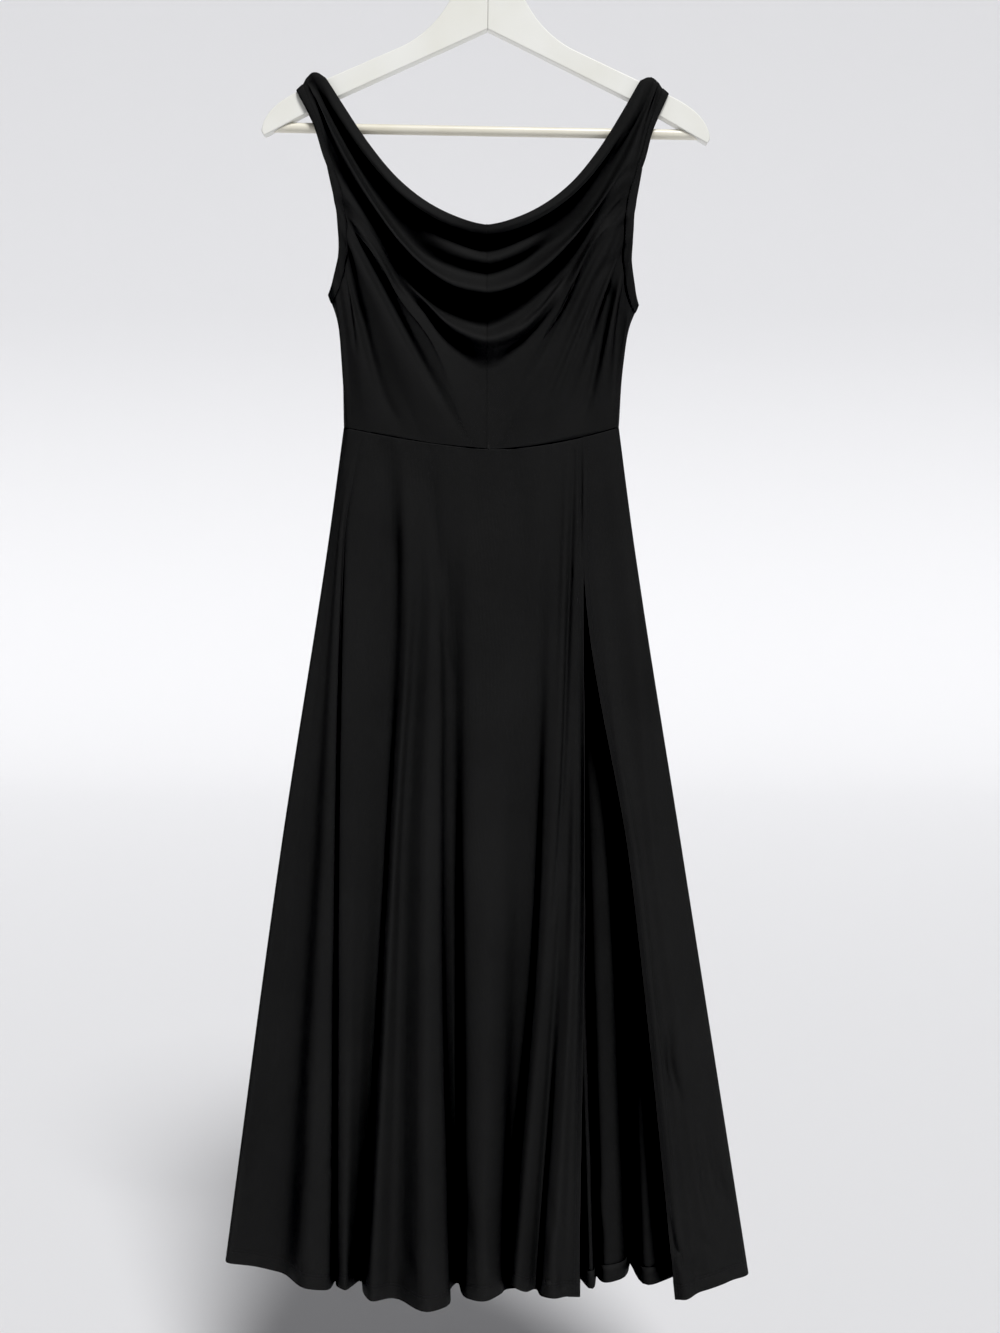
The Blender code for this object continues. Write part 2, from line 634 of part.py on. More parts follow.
def bodice_sheet(halves, facing, centre_gap):
    """Points, outward directions and faces of one or two halves, and each half's points'
    numbers. Two halves in one sheet share the points of their centre line."""
    points, faces, grids = [], [], []
    seams, seen = {}, {}
    for side, lines, half_seams in halves:
        numbers = [[None] * len(lines[0]) for _ in lines]
        for i, line in enumerate(lines):
            for k, point in enumerate(line):
                if point is None:
                    continue
                spot = point.copy()
                if spot.x == CENTRE_X:
                    spot.x += side * centre_gap
                key = tuple(round(c, 4) for c in spot)
                if key not in seen:
                    seen[key] = len(points)
                    points.append(spot)
                numbers[i][k] = seen[key]
                if (i, k) in half_seams:
                    seams[seen[key]] = half_seams[i, k]
        faces += sheet_faces(numbers, (side < 0) == (facing > 0))
        grids.append(numbers)
    return points, sheet_normals(points, faces, seams), faces, grids


def build_bodice(finish):
    """The two fronts, joined at the centre seam, and the back. Returns each armhole's front
    and back, as points, outward directions, numbers and the strap edge's line."""
    fronts = matched_halves(FRONT_STRAP_LINES, FRONT_ARMHOLE_LINES, -1)
    backs = matched_halves(BACK_STRAP_LINES, BACK_ARMHOLE_LINES, 1)
    front_edge = (len(FRONT_STRAP_LINES) - 1) * LINE_SPLITS
    back_edge = (len(BACK_STRAP_LINES) - 1) * LINE_SPLITS
    points, normals, faces, grids = bodice_sheet(backs, 1, 0.0)
    add_wall("bodice_back", points, normals, faces, finish)
    back_edges = [(points, normals, grid, back_edge) for grid in grids]
    armholes = {}
    for word, front, back in zip(("left", "right"), fronts, back_edges):
        points, normals, faces, grids = bodice_sheet([front], -1, HALF_GAP)
        add_wall(f"bodice_front_{word}", points, normals, faces, finish)
        armholes[word] = [(points, normals, grids[0], front_edge), back]
    return armholes


# ---------------------------------------------------------------- armhole bindings


def binding_rows(points, normals, grid, edge):
    """Down one armhole edge: at each place, the sheet's points and directions at the edge, the
    middle and the inner edge of the binding."""
    first = len(STRAP_COLUMNS)
    rows = []
    for column in range(first + 1):
        rows.append([grid[edge - k][column] for k in range(3)])
    corner = len(rows)
    for line in grid[edge:]:
        rows.append([line[first + k] for k in range(3)])
    found = [[(points[i], normals[i]) for i in row] for row in rows]
    tip = found[corner][0]
    far = grid[edge - 1][first + 1]
    inner = (points[far], normals[far])
    middle = ((tip[0] + inner[0]) / 2, (tip[1] + inner[1]) / 2)
    found.insert(corner, [tip, middle, inner])
    return found


def binding_section(row, outward):
    """The folded strip's outline at one place: over the outside of the cloth, round its edge
    and along its inside."""
    near = SEAM_GAP * 1.1
    far = near + BINDING_CLOTH
    edge, normal = row[0]
    floor = edge + outward * BINDING_SLACK
    fold = floor + outward * BINDING_CLOTH
    outline = [p + n * far for p, n in row[::-1]]
    outline.append(fold + normal * near)
    outline.append(fold - normal * (CLOTH + near))
    outline += [p - n * (CLOTH + far) for p, n in row]
    outline += [p - n * (CLOTH + near) for p, n in row[:0:-1]]
    outline.append(floor - normal * (CLOTH + near))
    outline.append(floor + normal * near)
    outline += [p + n * near for p, n in row[1:]]
    return outline


def binding_run(points, normals, grid, edge):
    """The sections down one edge of the armhole, from the shoulder to the underarm."""
    rows = binding_rows(points, normals, grid, edge)
    run = []
    for i, row in enumerate(rows):
        start, normal = row[0]
        before = [r[0][0] for r in rows[:i] if (r[0][0] - start).length > 0.01]
        after = [r[0][0] for r in rows[i + 1 :] if (r[0][0] - start).length > 0.01]
        ahead = (after[0] if after else start) - (before[-1] if before else start)
        outward = normal.cross(ahead)
        if i in (0, len(rows) - 1):
            outward.y = 0
        outward.normalize()
        if outward.dot(row[2][0] - start) > 0:
            outward = -outward
        run.append(binding_section(row, outward))
    return run


def build_binding(name, edges, finish):
    """One strip round an armhole, down the front edge and up the back one."""
    front, back = (binding_run(*edge) for edge in edges)
    sections = front + back[::-1]
    points, seen, numbers = [], {}, []
    for section in sections:
        ring = []
        for point in section:
            key = tuple(round(c, 4) for c in point)
            if key not in seen:
                seen[key] = len(points)
                points.append(point)
            ring.append(seen[key])
        numbers.append(ring)
    faces = []
    for ring, following in zip(numbers, numbers[1:] + numbers[:1]):
        for k in range(len(ring)):
            corners = (ring[k - 1], ring[k], following[k], following[k - 1])
            distinct = tuple(dict.fromkeys(corners))
            if len(distinct) > 2:
                faces.append(distinct)
    strip = add_mesh(name, points, faces, finish)
    strip.data.set_sharp_from_angle(angle=RIM_ANGLE)
    face_outwards(strip)


def face_outwards(thing):
    shape = bmesh.new()
    shape.from_mesh(thing.data)
    bmesh.ops.recalc_face_normals(shape, faces=shape.faces)
    shape.to_mesh(thing.data)
    shape.free()


# ---------------------------------------------------------------- hanger


def bezier(a, b, c, d, count):
    """count points of the curve after its first one."""
    found = []
    for i in range(1, count + 1):
        t = i / count
        s = 1 - t
        found.append(a * s**3 + b * 3 * s * s * t + c * 3 * s * t * t + d * t**3)
    return found


def arm_outline():
    """The right arm seen from the front, from the top of the joint round to the apex."""
    root = Vector(SHOULDER_ROOT)
    end = Vector(SHOULDER_END)
    slope = (end - root).normalized()
    corner = Vector((NECK_HALF - NECK_CORNER, NECK_TOP_Z))
    waist = Vector((NECK_HALF, NECK_TOP_Z - NECK_CORNER))
    tip = Vector(ARM_TIP)
    outline = [Vector((JOINT_GAP / 2, NECK_TOP_Z)), corner]
    round_off = NECK_CORNER * 0.45
    outline += bezier(
        corner, corner + Vector((round_off, 0)), waist + Vector((0, round_off)), waist, 4
    )
    outline += bezier(waist, waist + Vector((0, -30)), root - slope * 31, root, 10)
    outline.append(end)
    outline += bezier(end, end + slope * 22, tip + Vector((-2, 20)), tip, 8)
    outline.append(Vector(TIP_BOTTOM))
    outline.append(Vector(ELBOW))
    outline.append(Vector((JOINT_GAP / 2, APEX_Z)))
    return outline


def build_arm(name, side, finish):
    half = ARM_THICKNESS / 2
    outline = arm_outline()
    count = len(outline)
    points = [Vector((side * p.x, -half, p.y)) for p in outline]
    points += [Vector((side * p.x, half, p.y)) for p in outline]
    faces = [tuple(range(count)), tuple(range(2 * count - 1, count - 1, -1))]
    for i in range(count):
        k = (i + 1) % count
        faces.append((k, i, i + count, k + count))
    arm = add_mesh(name, points, faces, finish, False)
    face_outwards(arm)
    rounded = arm.modifiers.new("rounded edges", "BEVEL")
    rounded.width = ARM_EDGE * MM
    rounded.segments = 2
    rounded.limit_method = "ANGLE"
    rounded.angle_limit = math.radians(50)
    return arm


def build_bar(name, finish):
    """The trouser bar, its ends cut to the slope of the arms' undersides."""
    elbow = Vector(ELBOW)
    bottom = Vector(TIP_BOTTOM)
    run = (bottom.x - elbow.x) / (bottom.y - elbow.y)
    points = []
    for side in (-1, 1):
        for i in range(BAR_SIDES):
            angle = math.tau * i / BAR_SIDES
            y = BAR_RADIUS * math.cos(angle)
            z = BAR_Z + BAR_RADIUS * math.sin(angle)
            reach = elbow.x + (z - elbow.y) * run - JOINT_GAP * 2.2
            points.append(Vector((side * reach, y, z)))
    faces = [tuple(range(BAR_SIDES)), tuple(range(2 * BAR_SIDES - 1, BAR_SIDES - 1, -1))]
    for i in range(BAR_SIDES):
        k = (i + 1) % BAR_SIDES
        faces.append((k, i, i + BAR_SIDES, k + BAR_SIDES))
    bar = add_mesh(name, points, faces, finish)
    bar.data.set_sharp_from_angle(angle=math.radians(40))
    face_outwards(bar)
    return bar


def hook_path():
    """The wire's centre line from its collar up, with the wire's radius at each point."""
    centre_z = HOOK_WIRE - HOOK_BEND
    foot_z = NECK_TOP_Z + JOINT_GAP
    path = [
        (Vector((0, 0, foot_z)), HOOK_COLLAR),
        (Vector((0, 0, foot_z + 2.0)), HOOK_COLLAR),
        (Vector((0, 0, foot_z + 2.4)), HOOK_WIRE),
    ]
    start = Vector((math.cos(HOOK_FROM), 0, math.sin(HOOK_FROM))) * HOOK_BEND
    start.z += centre_z
    away = Vector((math.sin(HOOK_FROM), 0, -math.cos(HOOK_FROM)))
    low = Vector((0, 0, foot_z + 9.0))
    bend = bezier(low, low + Vector((0, 0, 8)), start + away * 9, start, 7)
    path.append((low, HOOK_WIRE))
    path += [(p, HOOK_WIRE) for p in bend]
    steps = 20
    for i in range(1, steps + 1):
        angle = lerp(HOOK_FROM, HOOK_TO, i / steps)
        spot = Vector((math.cos(angle), 0, math.sin(angle))) * HOOK_BEND
        spot.z += centre_z
        path.append((spot, HOOK_WIRE))
    return path


def build_hook(name, finish):
    path = hook_path()
    points = []
    for i, (spot, radius) in enumerate(path):
        ahead = path[min(i + 1, len(path) - 1)][0] - path[max(i - 1, 0)][0]
        aside = Vector((0, 1, 0)).cross(ahead.normalized())
        for k in range(HOOK_SIDES):
            angle = math.tau * k / HOOK_SIDES
            ring = aside * math.cos(angle) + Vector((0, 1, 0)) * math.sin(angle)
            points.append(spot + ring * radius)
    tip_direction = (path[-1][0] - path[-2][0]).normalized()
    for k in range(HOOK_SIDES):
        rim = points[(len(path) - 1) * HOOK_SIDES + k]
        points.append(path[-1][0].lerp(rim, 0.5) + tip_direction * HOOK_WIRE * 0.8)
    rings = len(path) + 1
    faces = []
    for i in range(rings - 1):
        for k in range(HOOK_SIDES):
            a, b = i * HOOK_SIDES + k, i * HOOK_SIDES + (k + 1) % HOOK_SIDES
            faces.append((a, b, b + HOOK_SIDES, a + HOOK_SIDES))
    faces.append(tuple(range(HOOK_SIDES))[::-1])
    faces.append(tuple(range((rings - 1) * HOOK_SIDES, rings * HOOK_SIDES)))
    hook = add_mesh(name, points, faces, finish)
    hook.data.set_sharp_from_angle(angle=math.radians(50))
    face_outwards(hook)
    return hook


def build_hanger():
    wood = material("white_painted_wood", (0.78, 0.77, 0.73), 0.42)
    dowel = material("white_painted_dowel", (0.72, 0.69, 0.61), 0.35)
    steel = material("plated_steel_wire", (0.62, 0.62, 0.63), 0.25, 1.0)
    pieces = [
        build_arm("hanger_arm_left", -1, wood),
        build_arm("hanger_arm_right", 1, wood),
        build_bar("trouser_bar", dowel),
        build_hook("hanger_hook", steel),
    ]
    for piece in pieces:
        piece.data.transform(HANGER_TURN)


# ---------------------------------------------------------------- the whole object


def build():
    clear_scene()
    jersey = material("black_viscose_jersey", (0.012, 0.012, 0.013), 0.62)
    binding = material("black_jersey_binding", (0.014, 0.014, 0.015), 0.6)
    build_skirt(jersey)
    armholes = build_bodice(jersey)
    for word, edges in armholes.items():
        build_binding(f"armhole_binding_{word}", edges, binding)
    build_hanger()


build()
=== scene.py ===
# %% [markdown]
# # A black jersey maxi dress on its hanger
#
# A dress on a hanger is cloth and gravity and nothing else. The panels hang from the shoulders,
# the cowl falls in curved folds between them, and below the waist the spare width of the flared
# panels stands out in long vertical folds. This lesson builds each panel as its own thin sheet,
# from short tables of folds, and then gives it a turned hem, stitches and a knitted finish.
#
# The measured solids of the same dress come first. They fix where everything is, so nothing
# here has to be fitted by eye. Lengths in the tables are millimetres, the front faces -Y, and
# the origin is the inside top of the hanger's hook.

# %% Load the measured solids
import math

import bpy
import numpy as np
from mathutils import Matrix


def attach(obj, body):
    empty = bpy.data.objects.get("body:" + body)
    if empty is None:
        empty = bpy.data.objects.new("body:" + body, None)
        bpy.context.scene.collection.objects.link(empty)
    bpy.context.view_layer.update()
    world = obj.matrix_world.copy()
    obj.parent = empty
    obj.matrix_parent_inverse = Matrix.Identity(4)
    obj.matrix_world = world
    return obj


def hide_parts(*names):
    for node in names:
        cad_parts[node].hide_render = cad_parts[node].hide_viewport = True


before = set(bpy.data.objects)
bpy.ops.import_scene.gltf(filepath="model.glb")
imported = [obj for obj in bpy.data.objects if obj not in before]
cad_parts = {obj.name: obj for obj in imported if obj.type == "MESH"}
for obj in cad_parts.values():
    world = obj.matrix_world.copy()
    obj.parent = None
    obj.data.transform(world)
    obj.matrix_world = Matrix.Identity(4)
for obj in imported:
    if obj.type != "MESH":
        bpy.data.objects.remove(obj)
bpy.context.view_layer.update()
MM = 0.001
print("solids:", sorted(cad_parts))

# %% [markdown]
# ## Where the camera stands
#
# The camera is about 1.7 m in front of the dress, a little above its middle, and looks slightly
# down. A lens that is longer than a phone's keeps the long skirt from looking stretched. The
# camera comes first because every later choice is judged through it.

# %% Camera
IMAGE_HEIGHT = 1333
FOCAL_PIXELS = 1700
SENSOR = 36.0
CAMERA_SPOT = (0.010, -1.723, -0.6094)
CAMERA_DOWN = math.radians(4.93)

camera_data = bpy.data.cameras.new("camera")
camera_data.sensor_fit = "VERTICAL"
camera_data.sensor_height = SENSOR
camera_data.lens = FOCAL_PIXELS / IMAGE_HEIGHT * SENSOR
camera = bpy.data.objects.new("camera", camera_data)
camera.location = CAMERA_SPOT
camera.rotation_euler = (math.pi / 2 - CAMERA_DOWN, 0, 0)
bpy.context.scene.collection.objects.link(camera)
bpy.context.scene.camera = camera
print("lens", round(camera_data.lens, 1), "mm")

# %% [markdown]
# ## Colours and nodes
#
# Colours are written as people pick them, as hex values, while Blender reckons in linear light.
# One function turns one into the other. A second function adds any node, with its settings and
# whatever goes into it, so that each material below reads as a short list.


# %% Colour and node helpers
def linear(hex_colour):
    """A hex colour as linear light, with full opacity."""
    found = []
    for i in (1, 3, 5):
        value = int(hex_colour[i : i + 2], 16) / 255
        found.append(value / 12.92 if value <= 0.04045 else ((value + 0.055) / 1.055) ** 2.4)
    return (*found, 1.0)


def add_node(tree, kind, settings=None, inputs=None):
    """Adds a node. inputs gives numbers, colours or other nodes' sockets by name or place."""
    made = tree.nodes.new(kind)
    for name, value in (settings or {}).items():
        setattr(made, name, value)
    for place, value in (inputs or {}).items():
        if isinstance(value, bpy.types.NodeSocket):
            tree.links.new(value, made.inputs[place])
        else:
            made.inputs[place].default_value = value
    return made


def start_material(name, colour_hex, roughness, metallic=0.0, specular=0.5):
    """A material with its plain values set, and its tree and shader."""
    made = bpy.data.materials.new(name)
    made.use_nodes = True
    made.diffuse_color = linear(colour_hex)
    shader = made.node_tree.nodes["Principled BSDF"]
    shader.inputs["Base Color"].default_value = linear(colour_hex)
    shader.inputs["Roughness"].default_value = roughness
    shader.inputs["Metallic"].default_value = metallic
    shader.inputs["Specular IOR Level"].default_value = specular
    return made, made.node_tree, shader


def noise(tree, place, scale, detail=2.0):
    """A socket with cloudy values. place is a socket with coordinates."""
    inputs = {"Vector": place, "Scale": scale, "Detail": detail}
    return add_node(tree, "ShaderNodeTexNoise", None, inputs).outputs[0]


def remap(tree, value, low, high, new_low, new_high):
    """A socket's range from low to high, stretched to a new range and held at its ends."""
    inputs = {0: value, 1: low, 2: high, 3: new_low, 4: new_high}
    return add_node(tree, "ShaderNodeMapRange", None, inputs).outputs[0]


def blend(tree, share, first_hex, second_hex):
    """A colour between two, by a socket's share of the second."""
    inputs = {0: share, 6: linear(first_hex), 7: linear(second_hex)}
    return add_node(tree, "ShaderNodeMix", {"data_type": "RGBA"}, inputs).outputs[2]


def relief(tree, height, strength, distance, under=None):
    """Small bumps from a socket's heights, on top of others if there are any under them."""
    inputs = {"Height": height, "Strength": strength, "Distance": distance}
    if under is not None:
        inputs["Normal"] = under
    return add_node(tree, "ShaderNodeBump", None, inputs).outputs[0]


def reckon(tree, operation, first, second=0.0):
    """A socket with the result of one step of arithmetic."""
    return add_node(tree, "ShaderNodeMath", {"operation": operation}, {0: first, 1: second}).outputs[0]


print("linear black jersey:", [round(v, 4) for v in linear("#282828")[:3]])

# %% [markdown]
# ## Black viscose jersey
#
# Jersey is a single knit: its face is columns of small V-shaped loops, and its yarn is viscose
# with a little elastane, dyed black. The fibres are smooth, so light that grazes the cloth gets
# a faint silvery sheen, while the depth of the knit swallows what falls on it straight. That is
# why the folds of black jersey show as soft grey bands between deep black ones.
#
# The loops of such cloth are about 0.6 mm wide. They are drawn 1.4 mm wide here, because finer
# ones would only flicker at this distance. The pattern follows the piece's own UV map, which is
# in metres along the cloth, so it bends with every fold.

# %% Jersey
LOOP_WIDTH = 0.0014
LOOP_HEIGHT = 0.0011
GROOVE_DEPTH = 3.0


def knit_height(tree):
    """A socket with the height of the knit's loops: V shapes in columns."""
    place = add_node(tree, "ShaderNodeUVMap", {"uv_map": "cloth"})
    parts = add_node(tree, "ShaderNodeSeparateXYZ", None, {0: place.outputs[0]})
    columns = reckon(tree, "MULTIPLY", parts.outputs[0], 1 / LOOP_WIDTH)
    rows = reckon(tree, "MULTIPLY", parts.outputs[1], 1 / LOOP_HEIGHT)
    middle = reckon(tree, "SUBTRACT", reckon(tree, "FRACT", columns), 0.5)
    aside = reckon(tree, "ABSOLUTE", middle)
    turns = reckon(tree, "MULTIPLY", reckon(tree, "ADD", rows, aside), math.tau)
    groove = reckon(tree, "MULTIPLY", aside, -GROOVE_DEPTH)
    return reckon(tree, "ADD", reckon(tree, "SINE", turns), groove)


def jersey_finish(name, dark_hex, light_hex):
    """Dyed jersey: its depth of colour, sheen and nap vary a little from place to place."""
    made, tree, shader = start_material(name, dark_hex, 0.62, specular=0.04)
    shader.inputs["Sheen Weight"].default_value = 0.004
    shader.inputs["Sheen Roughness"].default_value = 0.42
    shader.inputs["Sheen Tint"].default_value = linear("#C9CAD0")
    place = add_node(tree, "ShaderNodeTexCoord").outputs["Object"]
    cloudy = noise(tree, place, scale=9.0, detail=4.0)
    tree.links.new(blend(tree, cloudy, dark_hex, light_hex), shader.inputs["Base Color"])
    tree.links.new(remap(tree, cloudy, 0.3, 0.7, 0.56, 0.68), shader.inputs["Roughness"])
    crumple = noise(tree, place, scale=46.0, detail=3.0)
    soft = relief(tree, crumple, strength=0.25, distance=0.0016)
    knit = relief(tree, knit_height(tree), strength=0.35, distance=0.00012, under=soft)
    tree.links.new(knit, shader.inputs["Normal"])
    return made


jersey = jersey_finish("black_viscose_jersey", "#282828", "#2D2D2D")
binding_jersey = jersey_finish("black_jersey_binding_strip", "#282828", "#2D2D2D")
thread, thread_tree, thread_shader = start_material("black_polyester_thread", "#2A2A2B", 0.5, specular=0.12)
twist = add_node(thread_tree, "ShaderNodeTexCoord").outputs["Object"]
plies = relief(thread_tree, noise(thread_tree, twist, scale=900.0), strength=0.4, distance=0.0001)
thread_tree.links.new(plies, thread_shader.inputs["Normal"])
print("cloth finishes:", jersey.name, binding_jersey.name, thread.name)

# %% [markdown]
# ## Curves through a few points
#
# A fold is known at only a few places: at the waist, at the knee, at the hem. Everything
# between is a smooth curve. These functions draw such curves: one that runs evenly through
# points in space, and one that never swings past its values, for tables of sizes.


# %% Curve helpers
def lerp(a, b, t):
    return a + (b - a) * t


def hermite(a, b, slope_a, slope_b, t):
    """The smooth curve from a to b with those slopes at its ends."""
    square, cube = t * t, t * t * t
    start = a * (2 * cube - 3 * square + 1) + slope_a * (cube - 2 * square + t)
    return start + b * (3 * square - 2 * cube) + slope_b * (cube - square)


def smooth_line(knots, splits, first=None, last=None):
    """Points of a curve through knots, each span cut in splits."""
    knots = np.asarray(knots, float)
    steps = np.diff(knots, axis=0)
    spans = np.maximum(np.linalg.norm(steps, axis=1), 1e-6)[:, None]
    ways = steps / spans
    tangents = np.empty_like(knots)
    both = spans[:-1] + spans[1:]
    tangents[1:-1] = (ways[:-1] * spans[1:] + ways[1:] * spans[:-1]) / both
    tangents[0] = ways[0] if first is None else first
    tangents[-1] = ways[-1] if last is None else last
    t = (np.arange(splits) / splits)[None, :, None]
    leave, arrive = (tangents[:-1] * spans)[:, None], (tangents[1:] * spans)[:, None]
    curve = hermite(knots[:-1, None], knots[1:, None], leave, arrive, t)
    return np.vstack([curve.reshape(-1, knots.shape[1]), knots[-1:]])


def cornered_line(knots, corner, sharp, splits):
    """A curve through knots that bends more tightly at one of them. sharp is 1 for a true corner."""
    if sharp == 0:
        return smooth_line(knots, splits)
    steps = np.diff(knots[corner - 1 : corner + 2], axis=0)
    spans = np.maximum(np.linalg.norm(steps, axis=1), 1e-6)
    before, after = steps / spans[:, None]
    even = (before * spans[1] + after * spans[0]) / spans.sum()
    upper = smooth_line(knots[: corner + 1], splits, None, lerp(even, before, sharp))
    lower = smooth_line(knots[corner:], splits, lerp(even, after, sharp), None)
    return np.vstack([upper[:-1], lower])


def steady(levels, values, at):
    """A curve through values at levels that never swings past them."""
    levels, values = np.asarray(levels, float), np.asarray(values, float)
    steps = np.diff(levels)
    slopes = np.diff(values) / steps
    product = slopes[:-1] * slopes[1:]
    total = np.where(product > 0, slopes[:-1] + slopes[1:], 1)
    inner = np.where(product > 0, 2 * product / total, 0)
    tangents = np.concatenate([slopes[:1], inner, slopes[-1:]])
    i = np.clip(np.searchsorted(levels, at, side="right") - 1, 0, len(steps) - 1)
    t = (at - levels[i]) / steps[i]
    return hermite(values[i], values[i + 1], tangents[i] * steps[i], tangents[i + 1] * steps[i], t)


def lengths_along(line):
    """How far along its length each point of a line is."""
    return np.concatenate([[0], np.cumsum(np.linalg.norm(np.diff(line, axis=0), axis=1))])


def lengths_down(grid):
    """How far each point of a grid is from its first row, along its column."""
    steps = np.linalg.norm(np.nan_to_num(np.diff(grid, axis=0)), axis=2)
    return np.concatenate([np.zeros((1, grid.shape[1])), np.cumsum(steps, axis=0)])


def at_lengths(line, wanted):
    """The points at those distances along a line."""
    lengths = lengths_along(line)
    return np.stack([np.interp(wanted, lengths, line[:, k]) for k in range(line.shape[1])], axis=1)


def nearest_on(path, x, z):
    """How far each place is from a path seen from the front, and where along the path."""
    best = np.full(np.shape(x), np.inf)
    where = np.zeros(np.shape(x))
    for i, (a, b) in enumerate(zip(path, path[1:])):
        way = b - a
        t = np.clip(((x - a[0]) * way[0] + (z - a[1]) * way[1]) / max(way @ way, 1e-9), 0, 1)
        gap = np.hypot(x - a[0] - t * way[0], z - a[1] - t * way[1])
        closer = gap < best
        best = np.where(closer, gap, best)
        where = np.where(closer, (i + t) / (len(path) - 1), where)
    return best, where


print("a curve of 3 knots in 4 splits has", len(smooth_line([(0, 0), (1, 1), (2, 0)], 4)), "points")

# %% [markdown]
# ## From a grid of points to a piece of cloth
#
# Every panel is a grid of points: rows across the cloth and columns down it. The direction that
# is outwards at each point comes from its neighbours. With that, an edge can be turned under as
# a maker turns it: past the edge, round, and back along the inside. A seam is only tucked in, so
# that two panels meet in a fine groove, while a hem goes back up for its full allowance.
#
# The sheet gets its thickness last, from a Solidify modifier that adds it on the inside.

# %% Edges of a grid
CLOTH = 0.8
#   how far past the edge each line lies, and how far in from the outside, in order
SEAM_TUCK = ((0.08, 0.2), (0.14, 0.6), (0.1, 1.3))
CENTRE_TUCK = ((0.02, 0.08), (0.03, 0.4), (0.02, 1.0))
HEM_TURN = ((0.35, 0.12), (0.62, 0.5), (0.66, 1.0), (0.5, 1.5), (0.1, 1.8), (-5, 1.9), (-11, 1.9), (-18, 1.9))
EDGE_TURN = ((0.3, 0.1), (0.55, 0.45), (0.58, 0.95), (0.4, 1.4), (0.0, 1.7), (-5, 1.8), (-11, 1.8))


def outward_of(grid, facing):
    """The outward direction at each point. facing is -1 for a front and 1 for a back."""
    across = np.gradient(grid, axis=1)
    down = np.gradient(grid, axis=0)
    normals = np.cross(across, down)
    length = np.linalg.norm(normals, axis=2, keepdims=True)
    normals = normals / np.where(length > 1e-9, length, 1)
    if np.nansum(normals[..., 1]) * facing < 0:
        normals = -normals
    return normals


def past_edge(edge, inside, normals, turn):
    """Lines of points past an edge: out along the cloth, and in against its outward side."""
    way = edge - inside
    way = way - normals * np.sum(way * normals, axis=-1, keepdims=True)
    length = np.linalg.norm(way, axis=-1, keepdims=True)
    way = way / np.where(length > 1e-9, length, 1)
    return [edge + way * out - normals * deep for out, deep in turn]


def turn_rows(grid, normals, turn, at_end):
    """The grid with one of its first or last rows turned under."""
    if not at_end:
        grid, normals = turn_rows(grid[::-1], normals[::-1], turn, True)
        return grid[::-1], normals[::-1]
    rows = past_edge(grid[-1], grid[-2], normals[-1], turn)
    grid = np.concatenate([grid, np.stack(rows)])
    return grid, np.concatenate([normals, np.repeat(normals[-1:], len(turn), axis=0)])


def turn_columns(grid, normals, turn, at_end):
    """The same for its first or last column."""
    grid, normals = turn_rows(grid.transpose(1, 0, 2), normals.transpose(1, 0, 2), turn, at_end)
    return grid.transpose(1, 0, 2), normals.transpose(1, 0, 2)


print("a turned hem has", len(HEM_TURN), "lines of points past its edge")


# %% Pieces from points
def only(piece):
    """Makes one object the selected and active one."""
    bpy.ops.object.select_all(action="DESELECT")
    piece.select_set(True)
    bpy.context.view_layer.objects.active = piece


def turn_faces_out(piece, weld=0.0):
    """Makes the faces of a closed piece look outwards, and joins points closer than weld metres."""
    only(piece)
    bpy.ops.object.mode_set(mode="EDIT")
    bpy.ops.mesh.select_all(action="SELECT")
    if weld:
        bpy.ops.mesh.remove_doubles(threshold=weld)
    bpy.ops.mesh.normals_make_consistent(inside=False)
    bpy.ops.object.mode_set(mode="OBJECT")


def new_piece(name, points, faces, finish, uvs=None):
    """A smooth mesh object of points in millimetres."""
    mesh = bpy.data.meshes.new(name)
    mesh.from_pydata((np.asarray(points) * MM).tolist(), [], faces)
    if uvs is not None:
        layer = mesh.uv_layers.new(name="cloth")
        corner = np.empty(len(mesh.loops), np.int32)
        mesh.loops.foreach_get("vertex_index", corner)
        layer.data.foreach_set("uv", (np.asarray(uvs) * MM)[corner].ravel())
    mesh.materials.append(finish)
    mesh.update()
    mesh.shade_smooth()
    piece = bpy.data.objects.new(name, mesh)
    bpy.context.scene.collection.objects.link(piece)
    return piece


def cloth_places(grid):
    """Each point's place on the flat cloth: along its row from the middle, and down its column."""
    across = lengths_down(grid.transpose(1, 0, 2)).T
    middle = grid.shape[1] // 2
    return np.stack([across - across[:, middle : middle + 1], -lengths_down(grid)], axis=2)


def cloth_piece(name, grids, facing, finish):
    """A thin sheet from one grid, or from several that share points. NaN marks no cloth."""
    points, faces, places, seen = [], [], [], {}
    for grid in grids:
        known = ~np.isnan(grid[..., 0])
        numbers = np.full(known.shape, -1)
        flat = cloth_places(grid)
        for i, k in zip(*np.nonzero(known)):
            key = tuple(np.round(grid[i, k], 3))
            if key not in seen:
                seen[key] = len(points)
                points.append(grid[i, k])
                places.append(flat[i, k])
            numbers[i, k] = seen[key]
        upper, lower = numbers[:-1], numbers[1:]
        corners = np.stack([upper[:, :-1], upper[:, 1:], lower[:, 1:], lower[:, :-1]], axis=2)
        corners = corners[(corners >= 0).all(axis=2)]
        a, b, c, d = (np.asarray(points)[corners[:, i]] for i in range(4))
        turned = np.cross(c - a, d - b)[:, 1].sum() * facing < 0
        for quad in (corners[:, ::-1] if turned else corners).tolist():
            distinct = list(dict.fromkeys(quad))
            if len(distinct) > 2:
                faces.append(distinct)
    piece = new_piece(name, points, faces, finish, places)
    thickness = piece.modifiers.new("cloth thickness", "SOLIDIFY")
    thickness.thickness = CLOTH * MM
    thickness.offset = -1.0
    print(f"{name}: {len(points)} points, {len(faces)} faces")
    return piece


print("cloth is", CLOTH, "mm thick")

